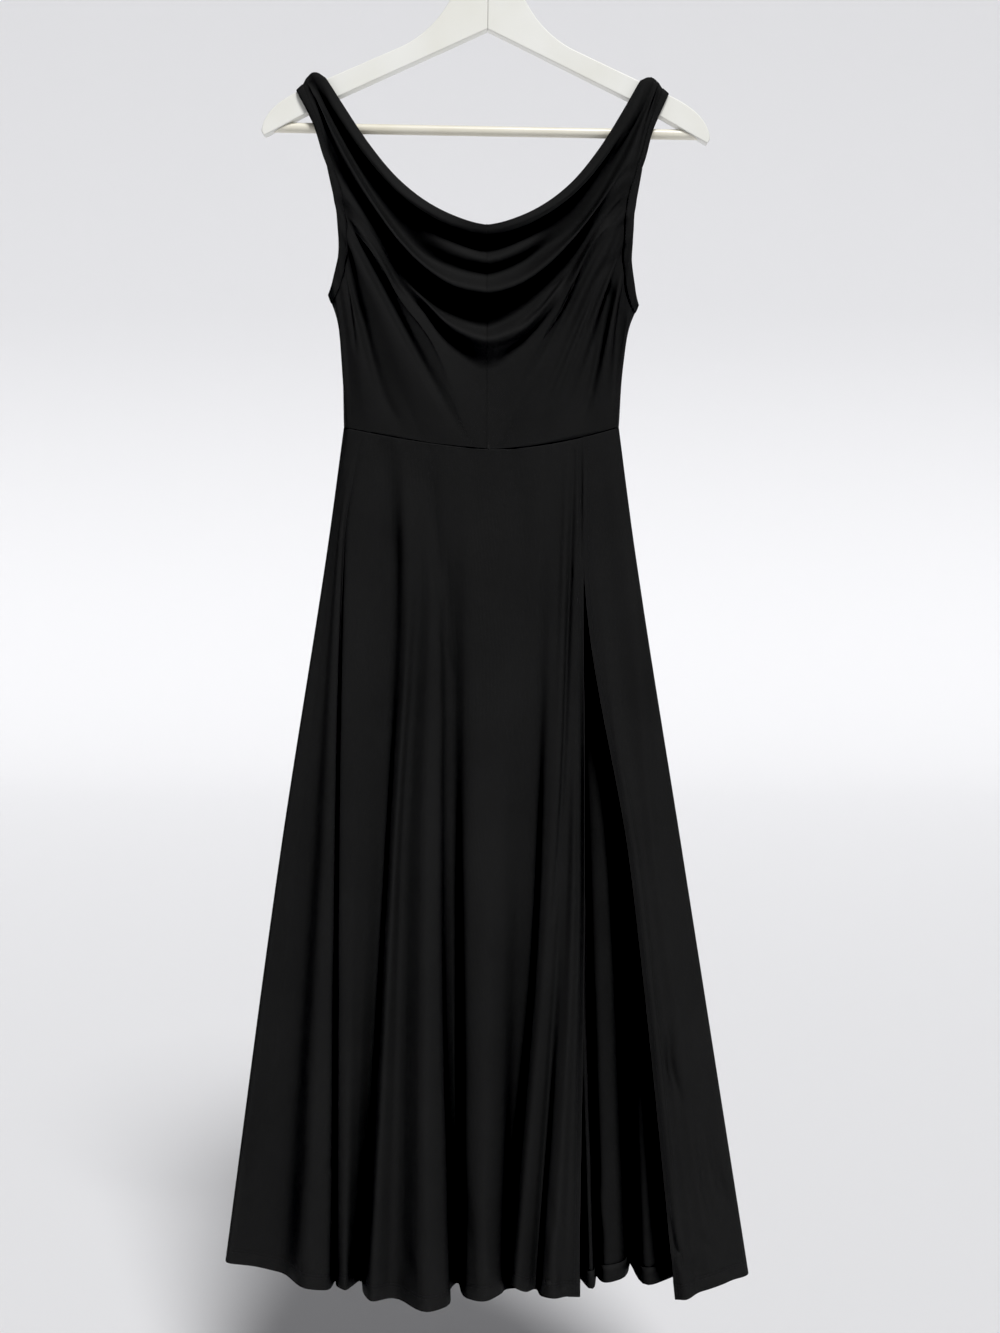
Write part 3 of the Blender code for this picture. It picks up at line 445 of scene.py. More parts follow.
# %% [markdown]
# ## Creases laid one by one
#
# Besides its large folds, jersey keeps many slight creases: where it was gathered at the
# shoulder, where the armhole pulls, where the hem rested. Each is a short path on the panel,
# seen from the front, with its width, its depth and how strong it is at its start, middle and
# end. A negative depth is a trough. They are pushed into the sheet along its outward direction.
# A second function adds the slight unevenness of cloth that never hangs quite smooth.

# %% Crease helpers
CREASE_SPLITS = 3
#   share of the height, length across, length down, share of the phase
WAVES = ((1, 17, 61, 1), (0.8, 9.3, -43, 2.1), (0.6, 31, 23, 0.7), (0.5, -27, 13, 1))


def pushed_by(grid, creases):
    """How far the creases push each point out."""
    push = np.zeros(grid.shape[:2])
    x, z = grid[..., 0], grid[..., 2]
    for path, width, depth, strengths in creases.values():
        gap, where = nearest_on(smooth_line(np.reshape(path, (-1, 2)), CREASE_SPLITS), x, z)
        strength = np.interp(where, (0, 0.5, 1), strengths)
        push += depth * strength * np.exp(-((gap / width) ** 2))
    return push


def unevenness(grid, height, phase):
    """Slight waves of several lengths that never repeat over a panel."""
    x, z = grid[..., 0], grid[..., 2]
    waves = sum(share * np.sin(x / wide + z / tall + turn * phase) for share, wide, tall, turn in WAVES)
    return height * waves / sum(wave[0] for wave in WAVES)


def push_out(grid, facing, amount):
    """The grid with each point moved out by its own amount."""
    return grid + outward_of(grid, facing) * amount[..., None]


print("creases are pushed in with a soft bell shape")

# %% [markdown]
# ## The skirt
#
# The skirt is cut in three panels: a wide front, a narrow side front beyond the slit, and a
# back. All are much wider at the hem than at the waist, and that spare width is what folds. The
# table has a row for each ridge or valley: where it lies across the skirt at the waist, at the
# top of the slit, at the knee and at the hem, how far forward or back it is at the hem, how far
# down it starts to stand out, and how much its part of the hem is lifted.

# %% Skirt tables
CENTRE_X = -3.0
WAIST_LEFT, WAIST_RIGHT, WAIST_HALF = -147.0, 129.4, 138.2
WAIST_SIDE_Z = -517.0
WAIST_SAG_FRONT, WAIST_SAG_BACK = 22.0, 9.0
WAIST_LOW_X = 4.0
WAIST_CURVE_LEFT, WAIST_CURVE_RIGHT = 1.5, 1.8
WAIST_GAP, HALF_GAP, CENTRE_GAP = 0.12, 0.1, 0.04
WAIST_DEPTH, SIDE_ROUNDING = 11.0, 4.0
HEM_Z, HEM_RISE, HEM_HALF = -1410.0, 27.0, 265.0
FRONT_BASE, BACK_BASE, FOLD_GROWTH = -24.0, 22.0, 1.3
#   shares of the length at which the waist, the opening, the knee and the hem are
SKIRT_LEVELS = (0.0, 0.13, 0.5, 1.0)
SKIRT_LENGTH = 880.0
#   rows of the grid: distances below the waist, then even steps, then 1 mm apart over the hem
ROWS_AT_WAIST = (0, 1.2, 2.4, 4, 6, 9, 12.5)
ROWS_FROM, ROWS_APART, ROWS_AT_HEM = 18.5, 6.0, 22
SKIRT_UNEVEN, CALM_COLUMNS = 0.35, 4
#   puckers: height, length of a ripple, length of the beat that varies it and by how much, and
#   how far below the seam they start and fade
PUCKER_HEIGHT, PUCKER_LONG, PUCKER_BEAT, PUCKER_VARIES = 0.22, 1.9, 8.3, 0.4
PUCKER_START, PUCKER_FADE = 1.5, 7
#   the hem's stitching: heights of the rows, depth and width of a groove, how much it varies
HEM_LINES = (12.0, 15.0)
HEM_GROOVE, HEM_GROOVE_WIDE, HEM_VARIES, HEM_BEATS = 0.34, 0.9, 0.25, (3.1, 11)
#   waves of the hem's edge: height, how far up they fade, lengths and phase
HEM_WAVE, HEM_WAVE_FADE, HEM_WAVE_LONG, HEM_WAVE_PHASE = 0.35, 9, (4.3, 17), 1.3

#   x_waist, x_opening, x_knee, x_hem, y_hem, start, raise
SKIRT_FRONT = {
    "side_seam": (-147, -163, -215, -277, -6, 0.0, 0),
    "flank": (-142, -157, -197, -248, 0, 0.0, -3),
    "flank_valley": (-138, -154, -183, -219, -4, 0.06, -3),
    "strip_ridge": (-134.5, -152, -168, -191, -35, 0.0, -1),
    "pleat_valley": (-130.5, -148.5, -159, -167, -29, 0.0, -2),
    "pleat_floor": (-128.5, -146.8, -156.6, -162, -8, 0.0, -2),
    "pleat_edge": (-126.5, -145, -154.5, -158.5, -25, 0.0, 0),
    "panel_ridge": (-113, -136, -143, -150, -30, 0.0, 0),
    "panel_slope": (-103, -116, -126, -144, -20, 0.0, 0),
    "second_valley": (-94, -95, -109, -137, -6, 0.0, 0),
    "second_edge": (-87, -86, -104, -130, -36, 0.0, 0),
    "big_fold_left": (-78, -80, -98, -122, -48, 0.0, 0),
    "big_fold_dip": (-66, -70, -90, -101, -38, 0.25, 0),
    "big_fold_right": (-53, -56, -63, -64, -64, 0.05, 0),
    "third_edge": (-44, -48, -52, -44.5, -50, 0.05, 0),
    "third_valley": (-38, -42, -44, -40, -4, 0.05, 0),
    "third_floor": (-33, -36, -39, -36, 4, 0.05, 0),
    "centre_left": (-22, -24, -25, -25.5, -30, 0.05, 0),
    "centre_ridge": (-2, -3, -4, -6, -37, 0.1, 0),
    "centre_right": (27, 24, 14, 10, -22, 0.1, 0),
    "under_slope": (50, 46, 33, 20, 4, 0.1, -6),
    "under_fold": (58, 55, 44, 28, 6, 0.1, -6),
    "thin_edge": (65, 63, 53, 19, -30, 0.1, 14),
    "thin_tip": (71, 69, 60, 26, -38, 0.1, 14),
    "thin_valley": (76.5, 75, 67, 38, -34, 0.0, 8),
    "slit_fold_left": (81, 80, 72.5, 46, -28, 0.1, 8),
    "slit_fold_edge": (85, 83.5, 78, 52, -44, 0.45, 8),
    "slit_fold": (88, 87, 84.5, 64, -51, 0.35, 8),
    "slit_dip": (91, 90.5, 91, 78, -42, 0.4, 5),
    "slit_edge": (94, 94, 95.5, 91, -42, 0.13, 4),
}
SKIRT_SIDE = {
    "slit_edge": (94, 94, 142, 189, -49, 0.13, -6),
    "slit_turn": (100, 103, 149, 198, -53, 0.1, -6),
    "panel_dip": (109, 117, 158, 216, -39, 0.1, -7),
    "panel_ridge": (119, 136, 170, 230, -35, 0.0, -7),
    "outer_valley": (125, 142, 181, 248, -22, 0.0, -9),
    "side_seam": (129.4, 145, 198, 270, -5, 0.0, -12),
}
SKIRT_BACK = {
    "left_seam": (-147, -163, -215, -277, -6, 0.0, 0),
    "left_turn": (-138, -153, -200, -258, 23, 0.0, 2),
    "fold_1": (-123, -136, -176, -226, 10, 0.1, 0),
    "fold_2": (-105, -116, -149, -192, 33, 0.1, 0),
    "fold_3": (-86, -95, -122, -157, 17, 0.1, 0),
    "fold_4": (-66, -73, -94, -121, 38, 0.05, 0),
    "fold_5": (-45, -50, -66, -86, 20, 0.05, 0),
    "fold_6": (-25, -28, -38, -50, 42, 0.05, 0),
    "fold_7": (-5, -6, -10, -16, 27, 0.1, 0),
    "fold_8": (17, 18, 19, 19, 42, 0.1, 0),
    "fold_9": (39, 42, 49, 57, 22, 0.1, 0),
    "fold_10": (58, 62, 72, 82, 30, 0.1, 0),
    "slit_ridge": (72, 77, 92, 106, -16, 0.35, 0),
    "slit_groove": (79, 84, 97, 112, 14, 0.3, 0),
    "inner_ridge": (86, 92, 104, 120, -4, 0.15, 0),
    "inner_deep": (95, 103, 119, 136, 0, 0.15, 0),
    "far_edge": (101, 110, 129, 149, 40, 0.2, -2),
    "far_ridge": (107, 117, 143, 165, -14, 0.15, -3),
    "far_turn": (114, 125, 155, 190, 2, 0.1, -5),
    "fold_11": (121, 134, 173, 217, 29, 0.05, -8),
    "right_turn": (126, 140, 187, 250, 17, 0.0, -10),
    "right_seam": (129.4, 145, 198, 270, -5, 0.0, -12),
}

# %% [markdown]
# ### Creases of the skirt
#
# Long soft creases run between the large folds, and short ones lie where the hem curls and
# where the side panel was folded when the dress was packed. The back, which nobody sees on the
# rail, has its own set of the same kinds.

# %% Skirt creases
#   path as x, z, x, z and so on, width, depth, (strength at start, middle, end)
FRONT_CREASES = {
    "centre_line": ((-58, -690, -45, -735, -34, -780), 3, -0.9, (0, 1, 0)),
    "centre_line_up": ((-62, -640, -52, -705, -46, -760), 5, 0.6, (0, 1, 0)),
    "third_top": ((-62, -560, -50, -660, -42, -790), 9, -4, (0.1, 1, 0.2)),
    "second_top": ((-104, -540, -100, -610, -98, -660, -104, -820), 9, -4.6, (0.3, 1, 0.2)),
    "second_top_edge": ((-86, -550, -86, -650, -88, -780), 7, 2, (0.2, 1, 0)),
    "panel_fall": ((-112, -560, -114, -700, -122, -900, -140, -1150), 12, -1.6, (0.2, 1, 0.4)),
    "slit_pleat": ((84, -541, 82, -620, 79, -720, 73, -890, 64, -1010), 2.6, -3, (0.2, 1, 0.3)),
    "slit_pleat_lip": ((78, -541, 75, -620, 72, -720, 66, -890), 3, 1.2, (0.2, 1, 0.1)),
    "panel_faint": ((-118, -560, -124, -700, -131, -860), 8, -0.8, (0, 1, 0)),
    "waist_fan_1": ((-60, -540, -58, -600, -62, -680), 7, -0.7, (0.8, 0.6, 0)),
    "waist_fan_2": ((-20, -542, -14, -600, -12, -690), 8, -0.6, (0.8, 0.6, 0)),
    "waist_fan_3": ((22, -542, 26, -610, 24, -700), 8, -0.7, (0.8, 0.6, 0)),
    "waist_fan_4": ((46, -540, 45, -620, 38, -760), 7, 0.8, (0.2, 1, 0)),
    "thin_long": ((60, -560, 54, -740, 42, -960), 5, 0.7, (0, 1, 0)),
    "slit_press": ((91, -545, 91.5, -590, 92, -650), 2.4, -1.8, (0.3, 1, 0.2)),
    "slit_soft": ((84, -960, 76, -1140, 66, -1290), 5, -1, (0, 1, 0.4)),
    "slit_split_left": ((59, -1282, 67, -1334, 74, -1392), 5, -1.4, (0, 0.9, 1)),
    "slit_split_right": ((71, -1290, 64, -1345, 59, -1396), 4, 1.2, (0, 0.9, 0.6)),
    "pleat_nick_1": ((-157, -1252, -151, -1259, -145, -1266), 2.6, -0.7, (0, 1, 0)),
    "pleat_nick_2": ((-144, -1308, -138, -1300, -134, -1292), 2.6, -0.7, (0, 1, 0)),
    "strip_nick_1": ((-172, -1284, -165, -1272, -160, -1262), 3.2, -0.8, (0, 1, 0)),
    "strip_nick_2": ((-190, -1310, -183, -1299, -175, -1290), 3.4, -0.6, (0, 1, 0)),
    "strip_long": ((-186, -1180, -192, -1260, -196, -1340), 6, -0.9, (0, 1, 0)),
    "strip_hem": ((-183, -1322, -177, -1352, -171, -1376), 5, -1.1, (0, 1, 0.6)),
    "strip_curl": ((-213, -1370, -206, -1378, -196, -1384), 3, -0.9, (0, 1, 0.4)),
    "flank_long": ((-238, -1190, -250, -1280, -258, -1356), 7, -1.3, (0, 1, 0.3)),
    "flank_soft": ((-222, -1080, -228, -1180, -230, -1290), 9, 1, (0, 1, 0)),
    "flank_high": ((-196, -860, -205, -960, -214, -1070), 9, -0.9, (0, 1, 0)),
    "big_left_hem": ((-92, -1330, -81, -1368, -73, -1402), 5, -1.5, (0, 1, 0.7)),
    "big_right_hem": ((-70, -1308, -62, -1355, -59, -1402), 4.5, -1, (0, 1, 0.7)),
    "big_right_soft": ((-72, -1100, -68, -1200, -70, -1290), 6, 0.8, (0, 1, 0)),
    "big_left_soft": ((-104, -1050, -110, -1180, -114, -1300), 6, -0.8, (0, 1, 0)),
    "centre_hem_1": ((-30, -1270, -23, -1334, -20, -1400), 6, -1.3, (0, 1, 0.7)),
    "centre_hem_2": ((-5, -1240, -1, -1320, 3, -1390), 7, -1, (0, 1, 0.4)),
    "centre_soft": ((-12, -900, -16, -1030, -12, -1180), 9, -0.7, (0, 1, 0)),
    "centre_drag": ((20, -780, 14, -900, 6, -1040), 8, 0.7, (0, 1, 0)),
}
SIDE_CREASES = {
    "ridge_long": ((136, -575, 152, -760, 172, -960), 7, 1.2, (0, 1, 0.3)),
    "ridge_inner": ((182, -1130, 185, -1168, 198, -1209), 4, -3.2, (0.2, 1, 0)),
    "corner_fold": ((182, -1322, 189, -1352, 200, -1366, 219, -1382), 3.4, -3, (0.3, 1, 0)),
    "corner_ridge": ((186, -1360, 204, -1358, 222, -1353), 4, 0.9, (0.2, 1, 0)),
    "short_slant": ((211, -1340, 225, -1353, 238, -1366), 3.4, -2.2, (0, 1, 0)),
    "long_slant": ((206, -1195, 218, -1271, 226, -1316, 242, -1366), 5, -3.4, (0.2, 1, 0)),
    "long_slant_ridge": ((214, -1200, 226, -1271, 234, -1316, 250, -1360), 5, 1, (0.2, 1, 0)),
    "outer_slant": ((226, -1230, 235, -1282, 247, -1315, 260, -1345), 4.6, -3, (0.2, 1, 0)),
    "upper_faint": ((158, -800, 172, -930, 188, -1070), 6, -2, (0, 1, 0)),
    "slit_press": ((104, -640, 124, -800, 148, -980), 4, 0.6, (0, 1, 0)),
}
BACK_CREASES = {
    "waist_1": ((-96, -530, -98, -590, -106, -670), 7, -0.8, (0.8, 0.6, 0)),
    "waist_2": ((-52, -532, -54, -600, -60, -690), 8, -0.7, (0.8, 0.6, 0)),
    "waist_3": ((-8, -534, -10, -610, -12, -700), 8, -0.7, (0.8, 0.6, 0)),
    "waist_4": ((34, -532, 36, -600, 42, -680), 7, -0.8, (0.8, 0.6, 0)),
    "waist_5": ((82, -530, 88, -590, 98, -660), 7, -0.7, (0.8, 0.6, 0)),
    "sit_1": ((-90, -760, -40, -772, 12, -764), 7, -0.7, (0, 1, 0)),
    "sit_2": ((-60, -792, -6, -800, 52, -786), 6, 0.6, (0, 1, 0)),
    "sit_3": ((20, -744, 62, -752, 104, -742), 6, -0.6, (0, 1, 0)),
    "hang_1": ((-176, -940, -192, -1090, -206, -1240), 7, -1, (0, 1, 0)),
    "hang_2": ((-112, -980, -126, -1130, -138, -1290), 6, 0.8, (0, 1, 0)),
    "hang_3": ((-40, -930, -46, -1100, -50, -1280), 7, -0.9, (0, 1, 0)),
    "hang_4": ((30, -960, 38, -1120, 40, -1290), 6, 0.8, (0, 1, 0)),
    "hang_5": ((180, -930, 202, -1090, 226, -1250), 7, -1.1, (0, 1, 0)),
    "hem_1": ((-232, -1320, -224, -1350, -216, -1378), 4, -1.2, (0, 1, 0.5)),
    "hem_2": ((-162, -1310, -152, -1350, -146, -1392), 4, -1.1, (0, 1, 0.5)),
    "hem_3": ((-92, -1300, -84, -1350, -80, -1400), 4, -1.2, (0, 1, 0.5)),
    "hem_4": ((-20, -1310, -14, -1360, -12, -1404), 4, -1, (0, 1, 0.5)),
    "hem_5": ((62, -1300, 68, -1350, 70, -1400), 4, -1.2, (0, 1, 0.5)),
    "hem_6": ((210, -1300, 222, -1346, 228, -1386), 4, -1.1, (0, 1, 0.5)),
    "slit_inner_1": ((98, -1235, 112, -1313, 126, -1372), 4, -1.4, (0, 1, 0.4)),
    "slit_inner_2": ((118, -1000, 124, -1120, 134, -1250), 5, 0.9, (0, 1, 0)),
}
print(len(SKIRT_FRONT) + len(SKIRT_SIDE) + len(SKIRT_BACK), "folds and valleys in the skirt")
print(len(FRONT_CREASES) + len(SIDE_CREASES) + len(BACK_CREASES), "small creases")


# %% [markdown]
# ### Laying out the skirt
#
# Each row of the table becomes one line of points from the waist down to the hem, and smooth
# curves across join the lines. Then the creases are pushed in, with puckers below the waist seam
# and two grooves along the hem. All of them fade out towards a panel's side edges. The side
# edges of front and back follow curves of their own, which part by up to 4 mm halfway down. That
# shows only from exactly beside the dress, as a thin line of light.


# %% Skirt helpers
def side_share(x):
    """0 at either side seam and 1 over the flat of the front or back."""
    middle, half = (WAIST_LEFT + WAIST_RIGHT) / 2, (WAIST_RIGHT - WAIST_LEFT) / 2
    u = np.clip(np.abs(np.asarray(x, float) - middle) / half, 0, 1)
    return (1 - u**SIDE_ROUNDING) ** (1 / SIDE_ROUNDING)


def waist_height(x, sag):
    """The waist seam's height: it hangs lowest a little right of the middle."""
    x = np.asarray(x, float)
    left = np.clip((WAIST_LOW_X - x) / (WAIST_LOW_X - WAIST_LEFT), 0, 1) ** WAIST_CURVE_LEFT
    right = np.clip((x - WAIST_LOW_X) / (WAIST_RIGHT - WAIST_LOW_X), 0, 1) ** WAIST_CURVE_RIGHT
    return WAIST_SIDE_Z - sag * (1 - np.where(x < WAIST_LOW_X, left, right))


def skirt_levels():
    """Shares of the length: close together at the waist seam and over the hem's stitching."""
    even = np.arange(ROWS_FROM, SKIRT_LENGTH - ROWS_AT_HEM - 2, ROWS_APART)
    over_hem = SKIRT_LENGTH - np.arange(ROWS_AT_HEM, -1, -1)
    return np.concatenate([ROWS_AT_WAIST, even, over_hem]) / SKIRT_LENGTH


def skirt_grid(table, facing, base, sag, splits, gaps, turns):
    """Rows from waist to hem. gaps moves the end columns off their seams. turns says which ends
    go round into a side seam."""
    levels = skirt_levels()
    folds = []
    for x_waist, x_opening, x_knee, x_hem, y_hem, start, raised in table.values():
        x = steady(SKIRT_LEVELS, (x_waist, x_opening, x_knee, x_hem), levels)
        growth = np.clip((levels - start) / (1 - start), 0, 1) ** FOLD_GROWTH
        y_waist = facing * WAIST_DEPTH * side_share(x_waist)
        y = y_waist * (1 - levels) + base * levels + (y_hem - base) * growth
        hem = HEM_Z + HEM_RISE * (x_hem / HEM_HALF) ** 2 + raised
        z = lerp(waist_height(x_waist, sag) - WAIST_GAP, hem, levels)
        folds.append(np.stack([x, y, z], axis=1))
    stations = np.stack(folds, axis=1)
    stations[:, 0] += gaps[0]
    stations[:, -1] += gaps[1]
    out = np.array((0, facing, 0))
    first, last = (out if turns[0] else None), (-out if turns[1] else None)
    return np.stack([smooth_line(row, splits, first, last) for row in stations])


def seam_puckers(grid, phase):
    """Small gathers just below the waist seam, which die out within two centimetres."""
    below = lengths_down(grid)
    x = grid[..., 0]
    beat = 1 - PUCKER_VARIES + PUCKER_VARIES * np.sin(x / PUCKER_BEAT + 2 * phase)
    ripple = np.sin(x / PUCKER_LONG + phase) * beat
    return PUCKER_HEIGHT * ripple * np.exp(-below / PUCKER_FADE) * np.clip(below / PUCKER_START, 0, 1)


def hem_channel(grid):
    """Two shallow grooves where the hem's twin stitching pulls the cloth in, and a wavy edge."""
    up = lengths_down(grid[::-1])[::-1]
    x = grid[..., 0]
    pulled = 1 - HEM_VARIES + HEM_VARIES * np.sin(x / HEM_BEATS[0]) * np.sin(x / HEM_BEATS[1])
    grooves = sum(np.exp(-(((up - line) / HEM_GROOVE_WIDE) ** 2)) for line in HEM_LINES)
    waves = np.sin(x / HEM_WAVE_LONG[0] + HEM_WAVE_PHASE) * np.sin(x / HEM_WAVE_LONG[1])
    return HEM_WAVE * waves * np.exp(-up / HEM_WAVE_FADE) - HEM_GROOVE * grooves * pulled


print("the skirt's grids have", len(skirt_levels()), "rows")

# %% Skirt grids
front_seam, back_seam = np.array((0, -HALF_GAP, 0)), np.array((0, HALF_GAP, 0))
slit_left, slit_right = np.array((-HALF_GAP, 0, 0)), np.array((HALF_GAP, 0, 0))
FACINGS = {"front": -1, "side": -1, "back": 1}
BASES = {-1: (FRONT_BASE, WAIST_SAG_FRONT), 1: (BACK_BASE, WAIST_SAG_BACK)}
#   table, splits, (gap of each end), (ends that turn), creases, phase of the unevenness
SKIRT_PANELS = {
    "front": (SKIRT_FRONT, 6, (front_seam, slit_left), (True, False), FRONT_CREASES, 0.5),
    "side": (SKIRT_SIDE, 10, (slit_right, front_seam), (False, True), SIDE_CREASES, 2.4),
    "back": (SKIRT_BACK, 6, (back_seam, back_seam), (True, True), BACK_CREASES, 4.1),
}
skirt_grids = {}
for word, (table, splits, gaps, turns, creases, phase) in SKIRT_PANELS.items():
    facing = FACINGS[word]
    grid = skirt_grid(table, facing, *BASES[facing], splits, gaps, turns)
    amount = pushed_by(grid, creases) + unevenness(grid, SKIRT_UNEVEN, phase)
    amount += seam_puckers(grid, phase) + hem_channel(grid)
    columns = np.arange(grid.shape[1])
    amount *= np.clip(np.minimum(columns, columns[::-1]) / CALM_COLUMNS, 0, 1)
    skirt_grids[word] = push_out(grid, facing, amount)
    print(word, "skirt grid", grid.shape[:2], "hem width", round(lengths_along(grid[-1])[-1]), "mm")

# %% [markdown]
# ### Sewing the skirt's panels
#
# Each panel is turned under at the hem and along the slit, and tucked in at its seams. Its
# size before it was sewn is stated at the end, since cloth is bought flat: the front panel is
# cut as a flared shape seven tenths of a metre wide at the hem.


# %% Skirt pieces
def skirt_piece(name, word, left_turn, right_turn):
    """One panel of the skirt with all four of its edges finished."""
    grid, facing = skirt_grids[word], FACINGS[word]
    normals = outward_of(grid, facing)
    grid, normals = turn_rows(grid, normals, SEAM_TUCK, False)
    grid, normals = turn_rows(grid, normals, HEM_TURN, True)
    grid, normals = turn_columns(grid, normals, left_turn, False)
    grid, normals = turn_columns(grid, normals, right_turn, True)
    return cloth_piece(name, [grid], facing, jersey)


skirt_front = skirt_piece("front_skirt_panel", "front", SEAM_TUCK, EDGE_TURN)
skirt_side = skirt_piece("side_front_skirt_panel", "side", EDGE_TURN, SEAM_TUCK)
skirt_back = skirt_piece("back_skirt_panel", "back", SEAM_TUCK, SEAM_TUCK)
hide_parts("skirt_front")
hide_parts("skirt_front_side")
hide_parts("skirt_back")

# %% [markdown]
# ## The bodice
#
# The front is cut in two halves that are sewn together down the middle, and its neck edge is far
# longer than the gap it spans, so it falls in a cowl. Each fold of the cowl starts in the
# gathers on the shoulder or at the armhole and swings down to the centre seam. The table has a
# row for each such line, from the shoulder or armhole to the centre. Its first points are given
# as distance from the centre and height. Then come its heights at the cowl's own distances, and
# how far the cloth stands out at each point. On the shoulder the first height is the rise over
# the hanger's arm.

# %% Bodice tables
#   height, scale of the left half, scale of the right half, lift of each
HALF_SCALES = (
    (-517, 1.041, 0.958, 0.0, 0.0),
    (-391, 1.01, 0.965, 5.0, -5.0),
    (-330, 1.01, 0.995, 1.0, -3.0),
    (-170, 1.03, 0.98, 0.5, -3.0),
)
BODICE_DEPTHS = ((-517, 11.0), (-330, 13.0), (-170, 11.0))
STRAP_ROLL = 9.0
SHOULDER_REACH, CENTRE_DIP = 150.0, 0.1
SHOULDER_ROOT, SHOULDER_END = (86.0, -148.0), (180.0, -189.5)
HANGER_TILT = math.radians(1.0)

COWL_DISTANCES = (108, 84, 62, 34, 0)

#   (distance, height, distance, height ...), (heights at the cowl's distances), (outs)
LEFT_STRAP_LINES = {
    "neck_edge": (
        (154.6, 1.8, 137.3, -204.5, 117, -236.5),
        (-249, -277, -295, -310.5, -320.5), (0, 0.5, 1, 1.2, 2, 3, 5, 7),
    ),
    "neck_roll": (
        (163, 9.4, 145.8, -209.3, 124.4, -241.3),
        (-263, -289.5, -305, -319, -326), (0.5, 3, 4.2, 5, 5.6, 6, 6.2, 6.5),
    ),
    "first_valley": (
        (167.5, 10.6, 148.8, -211.1, 129, -244.3),
        (-272, -298, -313, -331.5, -344.5), (0.6, -0.5, -1, -2, -3, -3.5, -4, -5),
    ),
    "second_ridge": (
        (169.6, 10, 150.2, -212, 131.2, -245.8),
        (-279, -306.5, -325, -344, -352.5), (0, -2.5, -3.5, -4.5, -6.5, -5.5, -1.5, 2),
    ),
    "second_valley": (
        (171, 9.2, 151.6, -212.8, 133.2, -247),
        (-292.5, -325.5, -348.5, -361, -368), (0, -2.5, -4, -6, -8.5, -8.5, -6, -4.5),
    ),
    "third_ridge": (
        (173, 8, 156.3, -215.4, 139.5, -250.8),
        (-305, -338.5, -361.5, -380, -386.5), (0.3, 3, 4.5, 6.5, 9.5, 12, 14, 15),
    ),
    "third_under": (
        (174.4, 6.4, 158.9, -216.9, 144.3, -253.9),
        (-314, -346.5, -368, -385.5, -392), (0, 0, 0.5, 1, 3, 5, 7.5, 8.5),
    ),
    "deep_valley": (
        (176.4, 4, 162.3, -219, 150, -257.5),
        (-324.5, -358.5, -379.5, -397.5, -405), (0, 0.3, -2.5, -5.5, -7.5, -6.5, -4, -1.5),
    ),
    "armhole_edge": (
        (182, 1.5, 166.4, -221.3, 154.3, -260.5),
        (-331, -366.5, -387.5, -406, -417.5), (0, 0, 0, -5.8, -8.2, -7, -5.5, -4.5),
    ),
}
LEFT_ARMHOLE_LINES = {
    "fourth_ridge": ((150.4, -281), (-336.5, -374, -394.5, -420.5, -433), (0, -5.2, -8, 0.5, 8.5, 11.5)),
    "fourth_under": ((148.6, -290), (-342, -381, -400.5, -427.5, -442), (0, -4, -7.4, -1.6, 4, 7)),
    "v_valley": ((147.4, -298), (-347, -387.5, -406.5, -436.5, -459), (0, -0.6, -2.2, -4.2, -2.5, -1)),
    "calm": ((146.4, -303), (-351.5, -393, -413.5, -443.5, -466), (0.2, 0.4, 0.2, -1.4, -1.5, -1.2)),
    "centre_foot": ((145.8, -307.5), (-358, -400, -427.5, -489, -537.8), (0.2, 0.8, 0.9, 0.7, 0.3, 0)),
    "long_crease": (
        (145.5, -312, 108, -364.5, 84, -409, 62, -450, 34, -497.5, 19, -536.4),
        (), (0, -0.4, -0.4, -0.4, 0, 0),
    ),
}
RIGHT_STRAP_LINES = {
    "neck_edge": (
        (154.6, 1.8, 137.3, -204.5, 117, -236.5),
        (-249, -277, -295, -310.5, -320.5), (0, 0.5, 1, 1.2, 2, 3, 5, 7),
    ),
    "neck_roll": (
        (163, 9.4, 145.8, -209.3, 124.2, -241.2),
        (-262.5, -287.5, -303, -317, -326), (0.5, 3, 3.4, 4, 4.8, 5.4, 6, 6.5),
    ),
    "first_valley": (
        (167.5, 10.6, 150.3, -212, 128.6, -244.8),
        (-270.5, -295, -311, -329.5, -344.5), (0.6, -0.5, -0.5, -1.5, -3, -3, -4, -5),
    ),
    "second_ridge": (
        (169.6, 10, 151.4, -212.6, 130.6, -246),
        (-279.5, -306, -323, -342, -352.5), (0, -1.5, -2.5, -4.5, -6.5, -5.5, -0.5, 2),
    ),
    "second_valley": (
        (171, 9.2, 152.6, -213.3, 133, -247.6),
        (-292.5, -321.5, -336, -355.5, -368), (0, -1, -3.5, -5.5, -7.5, -7.5, -5.8, -4.5),
    ),
    "third_ridge": (
        (173, 8, 156.4, -215.4, 141, -252),
        (-303.5, -333.5, -356.5, -376.5, -386.5), (0.3, 2.5, 3.5, 4.5, 8, 10.5, 13.5, 15),
    ),
    "third_under": (
        (174.4, 6.4, 159, -217, 146, -255.6),
        (-308, -339, -362, -382.5, -392), (0, 1.5, 3, 0.5, 2.5, 4.5, 7, 8.5),
    ),
    "deep_valley": (
        (176.4, 4, 162.3, -219, 150.3, -258),
        (-315.5, -348.5, -370, -391.5, -405), (0, 0.8, 1.5, -3.5, -6.5, -6, -3.5, -1.5),
    ),
    "armhole_edge": (
        (182, 1.5, 166.4, -221.3, 154.3, -260.5),
        (-320.5, -356, -379, -400, -417.5), (0, 0, 0, -3.8, -7, -6.2, -5, -4.5),
    ),
}
